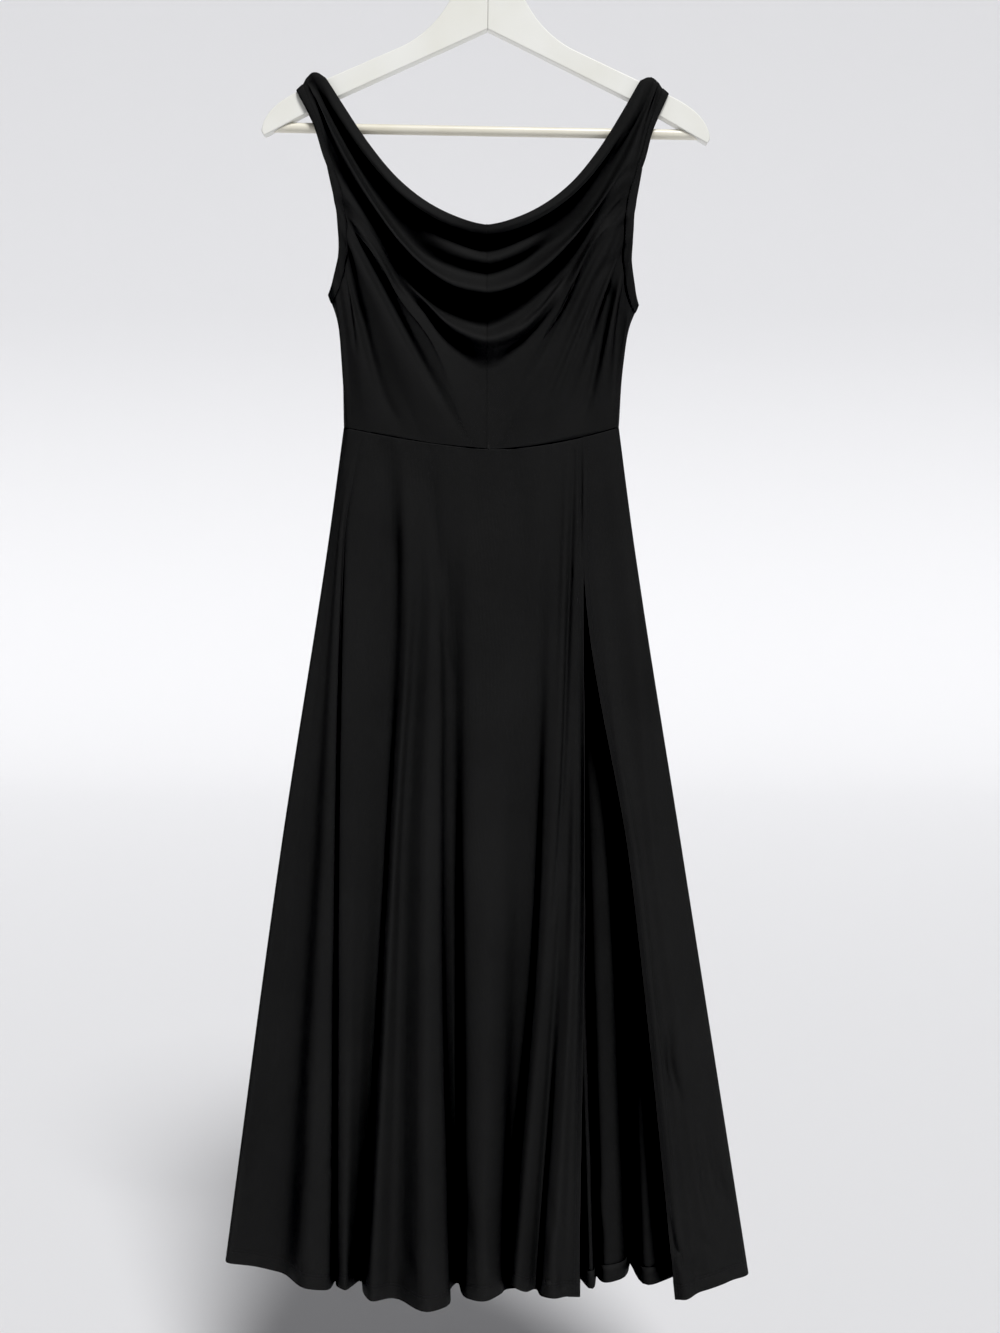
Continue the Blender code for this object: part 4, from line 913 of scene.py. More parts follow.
RIGHT_ARMHOLE_LINES = {
    "fourth_ridge": ((150.4, -281), (-325, -364, -395, -422.5, -433), (0, -2.6, -4.5, 3.4, 7.8, 11.5)),
    "fourth_under": ((148.6, -290), (-328.5, -370.5, -402, -429.5, -442), (0, -0.4, -0.5, 1.2, 3.8, 7)),
    "v_valley": ((147.4, -298), (-332, -377, -408.5, -438, -459), (0, 1.2, 1.5, -1.2, -1.9, -1)),
    "calm": ((146.4, -303), (-334.5, -383.5, -415, -445, -466), (0.2, 1, 1.5, -0.5, -1.2, -1.2)),
    "centre_foot": ((145.8, -307.5), (-345.5, -396, -431, -492, -539), (0, 0.5, 1, 0.6, 0.3, 0)),
    "long_crease": (
        (145.5, -312, 108, -365, 84, -418, 62, -459, 34, -502.5, 19, -538),
        (), (0, 0.3, 0.3, 0.3, 0, 0),
    ),
}
FRONT_SIDE_LINES = {
    "soft_ridge": ((145, -322, 116, -385, 79.6, -458, 50, -533.5), (), (0.3, 1.4, 2, 0)),
    "side_crease": ((144.4, -334, 122, -402, 105.5, -471, 94.9, -524), (), (0, -1, -1.5, 0)),
    "side_ridge": ((144.8, -348, 131, -412, 121.5, -471, 117.8, -520.5), (), (0.5, 1.5, 1.5, 0)),
    "side_valley": ((148.5, -366, 140, -417, 133.4, -471, 129.8, -518.5), (), (0, -0.5, -0.5, 0)),
    "side_turn": ((152.7, -382.4, 145, -421.5, 139.4, -471, 134.8, -517.6), (), (0, 0, 0, 0)),
    "side_seam": ((156.7, -391.2, 148.9, -410, 142.2, -451, 138.2, -517), (), (0, 0, 0, 0)),
}
BACK_STRAP_LINES = {
    "neck_edge": ((154.6, 1.8, 137.3, -204.5, 117, -235, 70, -293, 0, -327), (), (0, 1, 1, 1, 1)),
    "neck_roll": (
        (158.2, 5.6, 140.5, -206.4, 121.5, -239, 74, -299, 0, -333),
        (), (1, 2.5, 2.5, 2.5, 2.5),
    ),
    "neck_valley": ((165.0, 10.3, 148.6, -211.2, 130, -245, 77, -312, 0, -348), (), (0, 0, 0, 0, 0)),
    "strap_ridge": ((169.8, 9.9, 154.8, -214.8, 138, -250, 80, -330, 0, -372), (), (0.5, 1.2, 1.5, 2, 2)),
    "strap_valley": ((175.4, 4.6, 160.7, -218, 147.4, -256, 84, -338, 0, -386), (), (0, 0, 0, 0.5, 1)),
    "armhole_edge": ((182.0, 1.5, 166.4, -221.3, 154.3, -260.5, 88, -347, 0, -400), (), (0, 0, 0, 0, 1)),
}
BACK_ARMHOLE_LINES = {
    "calm": ((149.2, -287, 116, -345, 60, -412, 0, -455), (), (0, 0, 0, 0)),
    "centre_foot": ((146.6, -302, 117, -362, 65, -435, 0, -526), (), (0, 0, 0, 0)),
    "waist_ridge": ((145, -318, 118, -380, 72, -460, 24, -525.5), (), (0, 1.5, 2, 0)),
    "waist_valley": ((144.5, -345, 128, -402, 100, -471, 68, -523), (), (0, -1, -1, 0)),
    "side_ridge": ((149, -369, 138.5, -415, 122, -471, 106, -519.5), (), (0, 1, 1, 0)),
    "side_turn": ((152.7, -382.4, 145, -421.5, 138.5, -471, 132, -517.4), (), (0, 0, 0, 0)),
    "side_seam": ((156.7, -391.2, 148.9, -410, 142.2, -451, 138.2, -517), (), (0, 0, 0, 0)),
}

# %% [markdown]
# ### Creases of the bodice
#
# The cowl's weight drags on the armholes, so most of these are long pulls that run from the
# armhole down to the waist seam. The gathers under each shoulder are short and close together.

# %% Bodice creases
#   path as x, z, x, z and so on, width, depth, (strength at start, middle, end)
BODICE_FRONT_CREASES = {
    "facing_line": (
        (-44, -364, -34, -370, -24, -374, -10, -376.8, 5, -375.8, 15, -373.8, 25, -369.8, 34.6, -364.8,
         44.5, -357.8, 54, -350, 64, -340, 73.5, -329),
        1.3, -0.7, (0, 1, 0.6),
    ),
    "cross_down": ((14, -430, 18, -440, 24, -450), 2, -0.9, (0.2, 1, 0)),
    "cross_up": ((24, -424, 17, -430, 12, -433), 1.8, -0.8, (0.2, 1, 0)),
    "right_under": ((70, -371, 60, -384, 51, -396, 41, -405.5, 31, -414.5), 1.8, -1.6, (0.8, 1, 0.3)),
    "left_second": (
        (-147, -299, -131.3, -331.4, -106.5, -379.4, -86.6, -417.4, -66.9, -454.4, -47, -490.4, -26, -526),
        4.6, -4.2, (1.2, 1, 0),
    ),
    "left_second_lip": ((-134, -318, -110, -362, -90, -400, -70, -437, -50, -474), 4, 0.8, (0.4, 1, 0)),
    "left_long": (
        (-146.3, -333, -141.1, -353.7, -136.1, -377.7, -131.2, -395.7, -126.2, -412.7, -116.3, -451.7,
         -106.4, -485.7, -96, -520),
        4.8, -5, (0.9, 1, 0),
    ),
    "left_long_lip": ((-139, -352, -127, -395, -113, -450, -104, -480), 4, 0.9, (0.3, 1, 0)),
    "left_side": (
        (-147, -350, -144.8, -366, -139.9, -396, -135, -431, -133, -448),
        2.6, -3.2, (0.7, 1, 0),
    ),
    "left_branch": ((-108, -480, -96, -502, -88, -520), 2.6, -1.1, (0, 1, 0.2)),
    "left_faint": ((-97, -455, -86, -487, -76, -510, -69, -527), 3, -0.8, (0, 1, 0.2)),
    "left_faint_lip": ((-92, -470, -80, -500, -70, -522), 3, 0.4, (0, 1, 0)),
    "right_fourth": (
        (130.5, -298, 120.8, -314, 110.8, -333, 96, -362, 86, -382, 76, -403, 66.3, -422, 56.4, -440,
         46.5, -457, 34, -478),
        4, -3.6, (0.5, 1, 0),
    ),
    "right_third": (
        (132, -317, 125.7, -333, 115.8, -355, 105.8, -372, 96, -394, 86, -416, 76.2, -440, 66.3, -463,
         56.4, -486, 46.5, -509),
        4, -3.8, (0.7, 1, 0),
    ),
    "right_second": (
        (121, -354, 115.8, -366, 110.8, -377, 105.8, -389, 96, -416, 86, -442, 76, -472, 68, -496),
        3.6, -3.8, (1, 1, 0),
    ),
    "right_long": (
        (120, -384, 115, -396, 110.8, -408, 105.8, -424, 96, -455, 86, -484, 76, -509),
        3.2, -2.4, (1, 1, 0),
    ),
    "right_edge": (
        (131, -343, 125.7, -362, 120.8, -384, 115.8, -405, 110.8, -428, 105.8, -455, 101, -479, 96, -499,
         90, -521),
        4.2, -5, (0.8, 1, 0),
    ),
    "right_edge_lip": (
        (133, -362, 127.5, -384, 122.5, -405, 118, -428, 113, -455, 108, -479),
        3, 1, (0.4, 1, 0),
    ),
    "right_side": (
        (137.5, -340, 133.5, -370, 130.5, -402, 127, -435, 124.5, -460, 121.5, -495),
        4.2, -4.6, (0.5, 1, 0),
    ),
    "right_branch": ((144.8, -265, 135.5, -268, 127.4, -275, 118, -290, 108, -312), 3, -1.6, (0.6, 1, 0)),
    "left_gather_1": ((-177, -182, -178, -190, -177.4, -202), 1.7, -1.5, (1, 1, 0.2)),
    "left_gather_2": (
        (-176, -181, -171, -199.6, -166, -214, -162.5, -230.5, -160, -247),
        2.1, -1.6, (0.8, 1, 0.5),
    ),
    "left_gather_3": ((-168, -232, -163, -250, -157, -268, -152, -290), 2.2, -0.7, (0.2, 1, 0)),
    "left_gather_4": ((-183, -196, -177, -212, -171, -228), 2, 0.7, (0, 1, 0)),
    "right_gather_1": (
        (165.8, -185, 162.3, -196, 158.8, -207.5, 150.7, -235, 143.7, -260),
        1.9, -1.4, (1, 1, 0.4),
    ),
    "right_gather_2": ((164, -191, 160.5, -203, 157, -214), 1.5, -1.1, (0.6, 1, 0)),
    "right_gather_3": ((154, -226, 149, -246, 143, -276, 139, -300), 2, -0.8, (0.2, 1, 0.3)),
}
BODICE_BACK_CREASES = {
    "left_pull": ((-146, -330, -126, -390, -98, -450, -76, -500), 4.2, -1.2, (0.4, 1, 0)),
    "left_pull_lip": ((-136, -330, -116, -386, -90, -444), 4.6, 0.7, (0, 1, 0)),
    "right_pull": ((140, -330, 118, -388, 92, -452, 70, -506), 4.2, -1.2, (0.4, 1, 0)),
    "right_pull_lip": ((130, -330, 108, -384, 84, -446), 4.6, 0.7, (0, 1, 0)),
    "sag_1": ((-60, -372, -20, -386, 24, -382, 58, -368), 6, -0.9, (0, 1, 0)),
    "sag_2": ((-48, -402, -8, -414, 40, -404), 6.5, 0.7, (0, 1, 0)),
    "waist_1": ((-70, -478, -62, -505, -58, -526), 3.6, -0.8, (0, 0.8, 1)),
    "waist_2": ((-18, -482, -14, -508, -12, -528), 3.6, -0.7, (0, 0.8, 1)),
    "waist_3": ((30, -480, 34, -506, 36, -528), 3.6, -0.8, (0, 0.8, 1)),
    "left_gather": ((-172, -196, -164, -222, -156, -252), 2.2, -0.9, (0.5, 1, 0)),
    "right_gather": ((164, -198, 156, -226, 150, -258), 2.2, -0.9, (0.5, 1, 0)),
}
print(len(BODICE_FRONT_CREASES) + len(BODICE_BACK_CREASES), "small creases in the bodice")

# %% [markdown]
# ### Laying out one half of the bodice
#
# Each drape line is cut at the same places along its length, so that the lines make a grid.
# Past the strap the first few places are those of the armhole's binding, which is a strip of
# even width, so they are found by their distance from the armhole's edge.

# %% Drape lines
CURVE_SPLITS = 24
STRAP_SPLITS = 2 * CURVE_SPLITS
LINE_SPLITS, BODY_SPLITS = 6, 12
#   each shoulder's rise over the hanger's arm, as a share of the one in the tables
TOP_RISES = {-1: 1.12, 1: 0.88}
#   over what share of the width the corner at the armhole and the one at the centre's foot fade
EDGE_CORNER, FOOT_CORNER = 0.2, 0.35
STRAP_COLUMNS = np.concatenate([[0, 0.006, 0.012, 0.028, 0.05, 0.085], np.linspace(0.12, 0.94, 14)])
BINDING_STEPS = 4
BODY_COLUMNS = np.concatenate([np.linspace(0, 0.9, 34), [0.925, 0.95, 0.972, 0.988, 0.997, 1.0]])
BINDING_WIDTH = 8.0
BINDING_SEARCH = np.linspace(0, 0.5, 160)
FIRST = len(STRAP_COLUMNS)
BODICE_UNEVEN = 0.3
#   how many grid lines from each edge the creases take to reach their full depth
CENTRE_CALM, NECK_CALM, SIDE_CALM, SHOULDER_CALM, ARMHOLE_CALM = 5, 4, 8, 4, 5
BINDING_CALM, BINDING_LEAST = 6, 0.25


def arm_top(x):
    """Height of the hanger arm's top edge under the shoulder, with the hanger's slight tilt."""
    side = math.copysign(1, x)
    cos, sin = math.cos(HANGER_TILT), math.sin(HANGER_TILT)
    ends = [(side * d * cos + z * sin, z * cos - side * d * sin) for d, z in (SHOULDER_ROOT, SHOULDER_END)]
    (root_x, root_z), (end_x, end_z) = ends
    return lerp(root_z, end_z, (x - root_x) / (end_x - root_x))


def half_at(side, height):
    """Scale and lift of one half of the bodice at each height."""
    levels, left, right, left_lift, right_lift = np.array(HALF_SCALES).T
    scale, lift = (left, left_lift) if side < 0 else (right, right_lift)
    return np.interp(height, levels, scale), np.interp(height, levels, lift)


def flat_curve(row, side, on_strap):
    """A drape line as distance from the centre, how far it stands out, and height."""
    places, heights, outs = row
    spots = [*zip(places[::2], places[1::2]), *zip(COWL_DISTANCES, heights)]
    flat = np.array([(distance, out, height) for (distance, height), out in zip(spots, outs)], float)
    if on_strap:
        scale, lift = half_at(side, SHOULDER_END[1])
        flat[0, 2] *= TOP_RISES[side]
        flat[0, 2] += arm_top(CENTRE_X + side * flat[0, 0] * scale) - lift
    to_centre = (-1, 0, -CENTRE_DIP) if flat[-1, 0] == 0 else None
    return smooth_line(flat, CURVE_SPLITS, None, to_centre)


def body_places(curve, border):
    """Distances along a line of the binding's columns and those of the body past it."""
    whole = lengths_along(curve)[-1]
    tried = BINDING_SEARCH * whole
    spots = at_lengths(curve, tried)
    clear, _ = nearest_on(border, spots[:, 0], spots[:, 2])
    inner = tried[np.argmax(clear >= BINDING_WIDTH)]
    binding = np.arange(BINDING_STEPS) / BINDING_STEPS * inner
    return np.concatenate([binding, lerp(inner, whole, BODY_COLUMNS)])


def drape_line(curve, places, side, facing, on_strap):
    """A drape line's points in space."""
    ends_at = curve[-1, 0]
    body = curve[STRAP_SPLITS:] if on_strap else curve
    spots = at_lengths(body, places)
    if on_strap:
        strap = curve[: STRAP_SPLITS + 1]
        spots = np.vstack([at_lengths(strap, STRAP_COLUMNS * lengths_along(strap)[-1]), spots])
    distance, out, height = spots.T
    scale, lift = half_at(side, height)
    if ends_at == 0:
        lift = lift * np.clip(distance / SHOULDER_REACH, 0, 1)
    rounding = (1 - (ends_at / WAIST_HALF) ** SIDE_ROUNDING) ** (1 / SIDE_ROUNDING)
    depth = np.interp(height, *np.array(BODICE_DEPTHS).T) * rounding
    if on_strap:
        gone = np.hypot(distance - curve[0, 0], height - curve[0, 2]) / STRAP_ROLL
        turn = (1 - (1 - np.clip(gone, 0, 1)) ** SIDE_ROUNDING) ** (1 / SIDE_ROUNDING)
        depth, out = depth * turn, out * turn
    line = np.stack([CENTRE_X + side * distance * scale, facing * (depth + out), height + lift], axis=1)
    missing = len(STRAP_COLUMNS) + len(places) - len(line)
    return np.vstack([np.full((missing, 3), np.nan), line])


print("a drape line has", FIRST, "points on the strap and", BINDING_STEPS + len(BODY_COLUMNS), "past it")


# %% One half of the bodice
def bodice_half(strap_rows, armhole_rows, side, facing):
    """One half's grid from the neck to the side seam, and its lines at armhole and waist."""
    straps = [flat_curve(row, side, True) for row in strap_rows.values()]
    bodies = [flat_curve(row, side, False) for row in armhole_rows.values()]
    edge_curve = straps[-1]
    armhole = np.vstack([edge_curve[: STRAP_SPLITS + 1], [curve[0] for curve in bodies]])[:, (0, 2)]
    past_strap = edge_curve[STRAP_SPLITS:]
    strap_places = body_places(past_strap, armhole) / lengths_along(past_strap)[-1]
    lines = []
    for curve in straps:
        whole = lengths_along(curve[STRAP_SPLITS:])[-1]
        lines.append(drape_line(curve, strap_places * whole, side, facing, True))
    for curve in bodies:
        lines.append(drape_line(curve, body_places(curve, armhole), side, facing, False))
    lines = np.stack(lines)
    edge_line = len(strap_rows) - 1
    foot_line = edge_line + list(armhole_rows).index("centre_foot") + 1
    on_straps = np.arange(0, edge_line * BODY_SPLITS, BODY_SPLITS // LINE_SPLITS)
    keep = np.concatenate([on_straps, np.arange(edge_line * BODY_SPLITS, (len(lines) - 1) * BODY_SPLITS + 1)])
    edge = len(on_straps)
    grid = np.full((len(keep), lines.shape[1], 3), np.nan)
    for column in range(lines.shape[1]):
        known = lines[~np.isnan(lines[:, column, 0]), column]
        body = (column - FIRST) / (lines.shape[1] - 1 - FIRST)
        if body < 0:
            grid[: edge + 1, column] = smooth_line(known, BODY_SPLITS)[keep[: edge + 1]]
        elif body < 0.5:
            curve = cornered_line(known, edge_line, max(0, 1 - body / EDGE_CORNER), BODY_SPLITS)
            grid[:, column] = curve[keep]
        else:
            curve = cornered_line(known, foot_line, max(0, 1 - (1 - body) / FOOT_CORNER), BODY_SPLITS)
            grid[:, column] = curve[keep]
    return grid, edge, edge + (foot_line - edge_line) * BODY_SPLITS


def settle_on_seams(grid, edge, foot, facing):
    """Puts the half's outer lines exactly on the seams that they are sewn in."""
    sag = WAIST_SAG_FRONT if facing < 0 else WAIST_SAG_BACK
    grid[: edge + 1, 0, 1] = facing * HALF_GAP
    grid[: foot + 1, -1, 0] = CENTRE_X
    grid[foot:, -1, 1] = facing * WAIST_DEPTH * side_share(grid[foot:, -1, 0])
    grid[foot:, -1, 2] = waist_height(grid[foot:, -1, 0], sag) + WAIST_GAP
    grid[-1, FIRST:, 1] = facing * HALF_GAP
    return grid


def half_normals(grid, edge, facing):
    """Outward directions, where the rows past the strap have no strap columns."""
    normals = outward_of(grid[:, FIRST:], facing)
    whole = np.full(grid.shape, np.nan)
    whole[:, FIRST:] = normals
    whole[: edge + 1] = outward_of(grid[: edge + 1], facing)
    return whole


def relieved_half(grid, edge, facing, creases, phase):
    """The half with its creases pushed in. Its seams and the armhole's edge stay in place."""
    amount = pushed_by(grid, creases) + unevenness(grid, BODICE_UNEVEN, phase)
    rows, columns = np.arange(len(grid))[:, None], np.arange(grid.shape[1])[None, :]
    calm = np.clip(columns[:, ::-1] / CENTRE_CALM, 0, 1) * np.clip(rows / NECK_CALM, 0, 1)
    calm = calm * np.clip(rows[::-1] / SIDE_CALM, 0, 1)
    calm[: edge + 1] *= np.clip((edge - rows[: edge + 1]) / BINDING_CALM, BINDING_LEAST, 1)
    calm[: edge + 1] *= np.clip(columns / SHOULDER_CALM, 0, 1)
    calm[edge:] *= np.clip((columns - FIRST) / ARMHOLE_CALM, 0, 1)
    normals = half_normals(grid, edge, facing)
    return grid + normals * (amount * calm)[..., None]


print("the creases fade out within", max(CENTRE_CALM, SIDE_CALM, BINDING_CALM), "lines of an edge")

# %% Bodice grids
BODICE_LINES = {
    ("front", -1): (LEFT_STRAP_LINES, {**LEFT_ARMHOLE_LINES, **FRONT_SIDE_LINES}),
    ("front", 1): (RIGHT_STRAP_LINES, {**RIGHT_ARMHOLE_LINES, **FRONT_SIDE_LINES}),
    ("back", -1): (BACK_STRAP_LINES, BACK_ARMHOLE_LINES),
    ("back", 1): (BACK_STRAP_LINES, BACK_ARMHOLE_LINES),
}
BODICE_SETS = {
    "front": (-1, BODICE_FRONT_CREASES, 1.2),
    "back": (1, BODICE_BACK_CREASES, 3.3),
}
bodice_halves = {}
#   the armhole and the waist start at the same lines of both halves of a front or back
for word, (facing, creases, phase) in BODICE_SETS.items():
    pair = []
    for side in (-1, 1):
        grid, edge, foot = bodice_half(*BODICE_LINES[word, side], side, facing)
        pair.append(settle_on_seams(grid, edge, foot, facing))
    shared = (pair[0][: foot + 1, -1] + pair[1][: foot + 1, -1]) / 2
    for side, grid in zip((-1, 1), pair):
        grid[: foot + 1, -1] = shared
        grid = relieved_half(grid, edge, facing, creases, phase + side)
        bodice_halves[word, side] = (grid, half_normals(grid, edge, facing), edge, foot)
    print(word, "bodice halves", grid.shape[:2], "armhole from line", edge, "waist from line", foot)

# %% [markdown]
# ### Sewing the bodice
#
# The neck edge is turned in, and the shoulder, side, centre front and waist edges are tucked
# into their seams. The back has no centre seam, so its two halves share their middle points.


# %% Bodice pieces
def finished_half(grid, normals, edge, foot, centre_seam):
    """A half with its neck, side, shoulder, centre and waist edges finished."""
    if centre_seam:
        side = math.copysign(1, grid[0, 0, 0] - CENTRE_X)
        grid = grid.copy()
        grid[: foot + 1, -1, 0] += side * CENTRE_GAP
    centre = turn_columns(grid, normals, CENTRE_TUCK, True)
    if not centre_seam:
        centre[0][:foot, grid.shape[1] :] = np.nan
    grid, normals = turn_columns(*centre, SEAM_TUCK, False)
    grid[edge + 1 :, : len(SEAM_TUCK)] = np.nan
    grid, normals = turn_rows(grid, normals, EDGE_TURN, False)
    return turn_rows(grid, normals, SEAM_TUCK, True)[0]


front_left, front_right = (finished_half(*bodice_halves["front", side], True) for side in (-1, 1))
back_pair = [finished_half(*bodice_halves["back", side], False) for side in (-1, 1)]
bodice_left = cloth_piece("front_bodice_left", [front_left], -1, jersey)
bodice_right = cloth_piece("front_bodice_right", [front_right], -1, jersey)
bodice_back = cloth_piece("back_bodice", back_pair, 1, jersey)
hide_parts("bodice_front_left")
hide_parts("bodice_front_right")
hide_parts("bodice_back")

# %% [markdown]
# ## The armholes' bindings
#
# Each armhole is finished with a narrow strip of the same jersey, folded round the raw edge and
# stitched near its inner edge. The strip follows the panel exactly, so its cross-section is
# made from the panel's own points across its width, moved out for the outside, round the edge,
# and moved in for the inside. At the corner where the strap meets the body the sections open
# like a fan.

# %% Binding helpers
BINDING_LIFT = 0.04
BINDING_CLOTH = 0.5
BINDING_SLACK = 0.45
BINDING_CROWN = 0.28
FOLD_FULLNESS = 0.7
FAN_STEPS = 4
SAME_SPOT = 0.01


def between_points(field, row, column):
    """A value of a grid between its points."""
    i, k = int(row), int(column)
    i_next, k_next = math.ceil(row), math.ceil(column)
    upper = lerp(field[i, k], field[i, k_next], column - k)
    lower = lerp(field[i_next, k], field[i_next, k_next], column - k)
    return lerp(upper, lower, row - i)


def binding_places(grid, edge):
    """For each section, the row and column of its points from the edge inwards."""
    across = np.arange(BINDING_STEPS + 1)
    rise = LINE_SPLITS / BINDING_STEPS
    found = [[(edge - a * rise, column) for a in across] for column in range(FIRST + 1)]
    for step in range(1, FAN_STEPS):
        along = step / FAN_STEPS
        found.append([(edge - a * rise * (1 - along), FIRST + a * along) for a in across])
    for row in range(edge, len(grid)):
        found.append([(row, FIRST + a) for a in across])
    return found


def binding_run(grid, normals, edge):
    """Sections down one edge of an armhole, from the shoulder to the underarm."""
    rows = binding_places(grid, edge)
    points = np.array([[between_points(grid, r, c) for r, c in row] for row in rows])
    outs = np.array([[between_points(normals, r, c) for r, c in row] for row in rows])
    outs /= np.linalg.norm(outs, axis=2, keepdims=True)
    edge_line = points[:, 0]
    sections = []
    for i, (row, out) in enumerate(zip(points, outs)):
        gaps = np.linalg.norm(edge_line - row[0], axis=1)
        before = edge_line[:i][gaps[:i] > SAME_SPOT]
        after = edge_line[i:][gaps[i:] > SAME_SPOT]
        ahead = (after[0] if len(after) else row[0]) - (before[-1] if len(before) else row[0])
        way = np.cross(out[0], ahead)
        if i in (0, len(points) - 1):
            way[1] = 0
        way /= np.linalg.norm(way)
        if way @ (row[2] - row[0]) > 0:
            way = -way
        sections.append(binding_section(row, out, way))
    return sections


def binding_section(row, out, way):
    """The strip's outline at one place: outside, round the fold, inside, and back between."""
    across = np.arange(len(row)) / (len(row) - 1)
    crown = (BINDING_CROWN * 4 * across * (1 - across))[:, None]
    edge_out = out[0]
    fold = row[0] + way * (BINDING_SLACK + BINDING_CLOTH)
    floor = row[0] + way * BINDING_SLACK
    middle = CLOTH / 2
    near, far = BINDING_LIFT, BINDING_LIFT + BINDING_CLOTH
    outside = row + out * (far + crown)
    inside = row - out * (CLOTH + far + crown)
    round_fold = []
    for turn in (0.25, 0.5, 0.75):
        angle = math.pi * turn
        reach = (far + middle) * math.cos(angle)
        round_fold.append(lerp(row[0], fold, math.sin(angle) ** FOLD_FULLNESS) + edge_out * (reach - middle))
    inner = [floor - edge_out * (CLOTH + near), floor + edge_out * near]
    under = row[1:] + out[1:] * near
    within = (row - out * (CLOTH + near))[:0:-1]
    return np.vstack([outside[::-1], round_fold, inside, within, inner, under])


print("a binding's cloth is", BINDING_CLOTH, "mm thick and goes round a corner in", FAN_STEPS, "steps")


# %% Armhole bindings
def binding_piece(name, side):
    """One closed strip, down the front edge of an armhole and up the back one."""
    front = binding_run(*bodice_halves["front", side][:3])
    back = binding_run(*bodice_halves["back", side][:3])
    sections = np.array(front + back[::-1])
    count, around = sections.shape[:2]
    numbers = np.arange(count * around).reshape(count, around)
    following = np.roll(numbers, -1, axis=0)
    a, b = numbers, np.roll(numbers, -1, axis=1)
    c, d = np.roll(following, -1, axis=1), following
    faces = np.stack([a, b, c, d], axis=2).reshape(-1, 4).tolist()
    width = lengths_down(sections.transpose(1, 0, 2)).T
    length = lengths_along(sections[:, 0])
    places = np.stack([np.repeat(length[:, None], around, 1), width], axis=2).reshape(-1, 2)
    piece = new_piece(name, sections.reshape(-1, 3), faces, binding_jersey, places)
    turn_faces_out(piece, weld=0.00001)
    print(f"{name}: {round(length[-1])} mm of strip in {count} sections")
    return piece, sections


binding_left, sections_left = binding_piece("binding_left_armhole", -1)
binding_right, sections_right = binding_piece("binding_right_armhole", 1)
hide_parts("armhole_binding_left")
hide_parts("armhole_binding_right")

# %% [markdown]
# ## Stitches
#
# Two needles sew the hem side by side, which leaves twin rows of stitches about 3 mm long. One
# row holds each binding and one runs down beside the slit. A stitch is a short piece of thread
# that dips into the cloth at both ends, so each is a tiny closed spindle, laid along a path on
# the panel and half sunk into it.

# %% Stitch helpers
STITCH = 2.6
STITCH_GAP = 0.8
THREAD_RADIUS = 0.2
STITCH_RINGS = ((-0.5, 0.25), (-0.32, 1.0), (0.32, 1.0), (0.5, 0.25))
STITCH_SIDES = 5
STITCH_DIP, STITCH_LIFT = -0.22, 0.04
#   how far from the slit's edge its row runs, and what share of a step from the binding's edge
SLIT_STITCH, STITCHED_AT = 5.0, 0.6


def stitch_row(path, outs):
    """Points and faces of the stitches along a path with its outward directions."""
    points, faces = [], []
    whole = lengths_along(path)[-1]
    for start in np.arange(STITCH_GAP, whole - STITCH, STITCH + STITCH_GAP):
        spots = at_lengths(path, [start, start + STITCH / 2, start + STITCH])
        out = at_lengths_of(outs, path, start + STITCH / 2)
        along = spots[2] - spots[0]
        length = np.linalg.norm(along)
        along = along / max(length, 1e-6)
        aside = np.cross(along, out)
        base = len(points)
        for share, wide in STITCH_RINGS:
            dip = STITCH_DIP if abs(share) == 0.5 else STITCH_LIFT
            centre = spots[1] + along * share * length + out * dip
            for k in range(STITCH_SIDES):
                angle = math.tau * k / STITCH_SIDES
                ring = aside * math.cos(angle) + out * math.sin(angle)
                points.append(centre + ring * THREAD_RADIUS * wide)
        for ring in range(len(STITCH_RINGS) - 1):
            for k in range(STITCH_SIDES):
                a = base + ring * STITCH_SIDES + k
                b = base + ring * STITCH_SIDES + (k + 1) % STITCH_SIDES
                faces.append((a, b, b + STITCH_SIDES, a + STITCH_SIDES))
        faces.append(tuple(base + k for k in range(STITCH_SIDES))[::-1])
        last = base + (len(STITCH_RINGS) - 1) * STITCH_SIDES
        faces.append(tuple(last + k for k in range(STITCH_SIDES)))
    return points, faces


def at_lengths_of(values, path, wanted):
    """A unit direction that goes with a path, at a distance along the path."""
    lengths = lengths_along(path)
    found = np.array([np.interp(wanted, lengths, values[:, k]) for k in range(3)])
    return found / np.linalg.norm(found)


def inset_path(grid, normals, distance, at_end):
    """A path on a grid that keeps a distance from its first or last column."""
    if at_end:
        grid, normals = grid[:, ::-1], normals[:, ::-1]
    path = np.array([at_lengths(row, [distance])[0] for row in grid])
    outs = np.array([at_lengths_of(out, row, distance) for row, out in zip(grid, normals)])
    return path, outs


def stitch_piece(name, rows):
    """One mesh of several rows of stitches."""
    points, faces = [], []
    for path, outs in rows:
        more_points, more_faces = stitch_row(path, outs)
        faces += [tuple(i + len(points) for i in face) for face in more_faces]
        points += more_points
    piece = new_piece(name, points, faces, thread)
    turn_faces_out(piece)
    print(f"{name}: {len(points) // (STITCH_SIDES * len(STITCH_RINGS))} stitches")
    return piece


print("a stitch is", STITCH, "mm long and has", STITCH_SIDES, "sides")


# %% Stitches
def hem_rows(word):
    """The hem's twin rows on one panel."""
    grid = skirt_grids[word]
    columns, outs = grid.transpose(1, 0, 2), outward_of(grid, FACINGS[word]).transpose(1, 0, 2)
    return [inset_path(columns, outs, line, True) for line in HEM_LINES]


def slit_row(word, at_end):
    """The row of stitches beside the slit on one panel."""
    grid = skirt_grids[word]
    return inset_path(grid, outward_of(grid, FACINGS[word]), SLIT_STITCH, at_end)


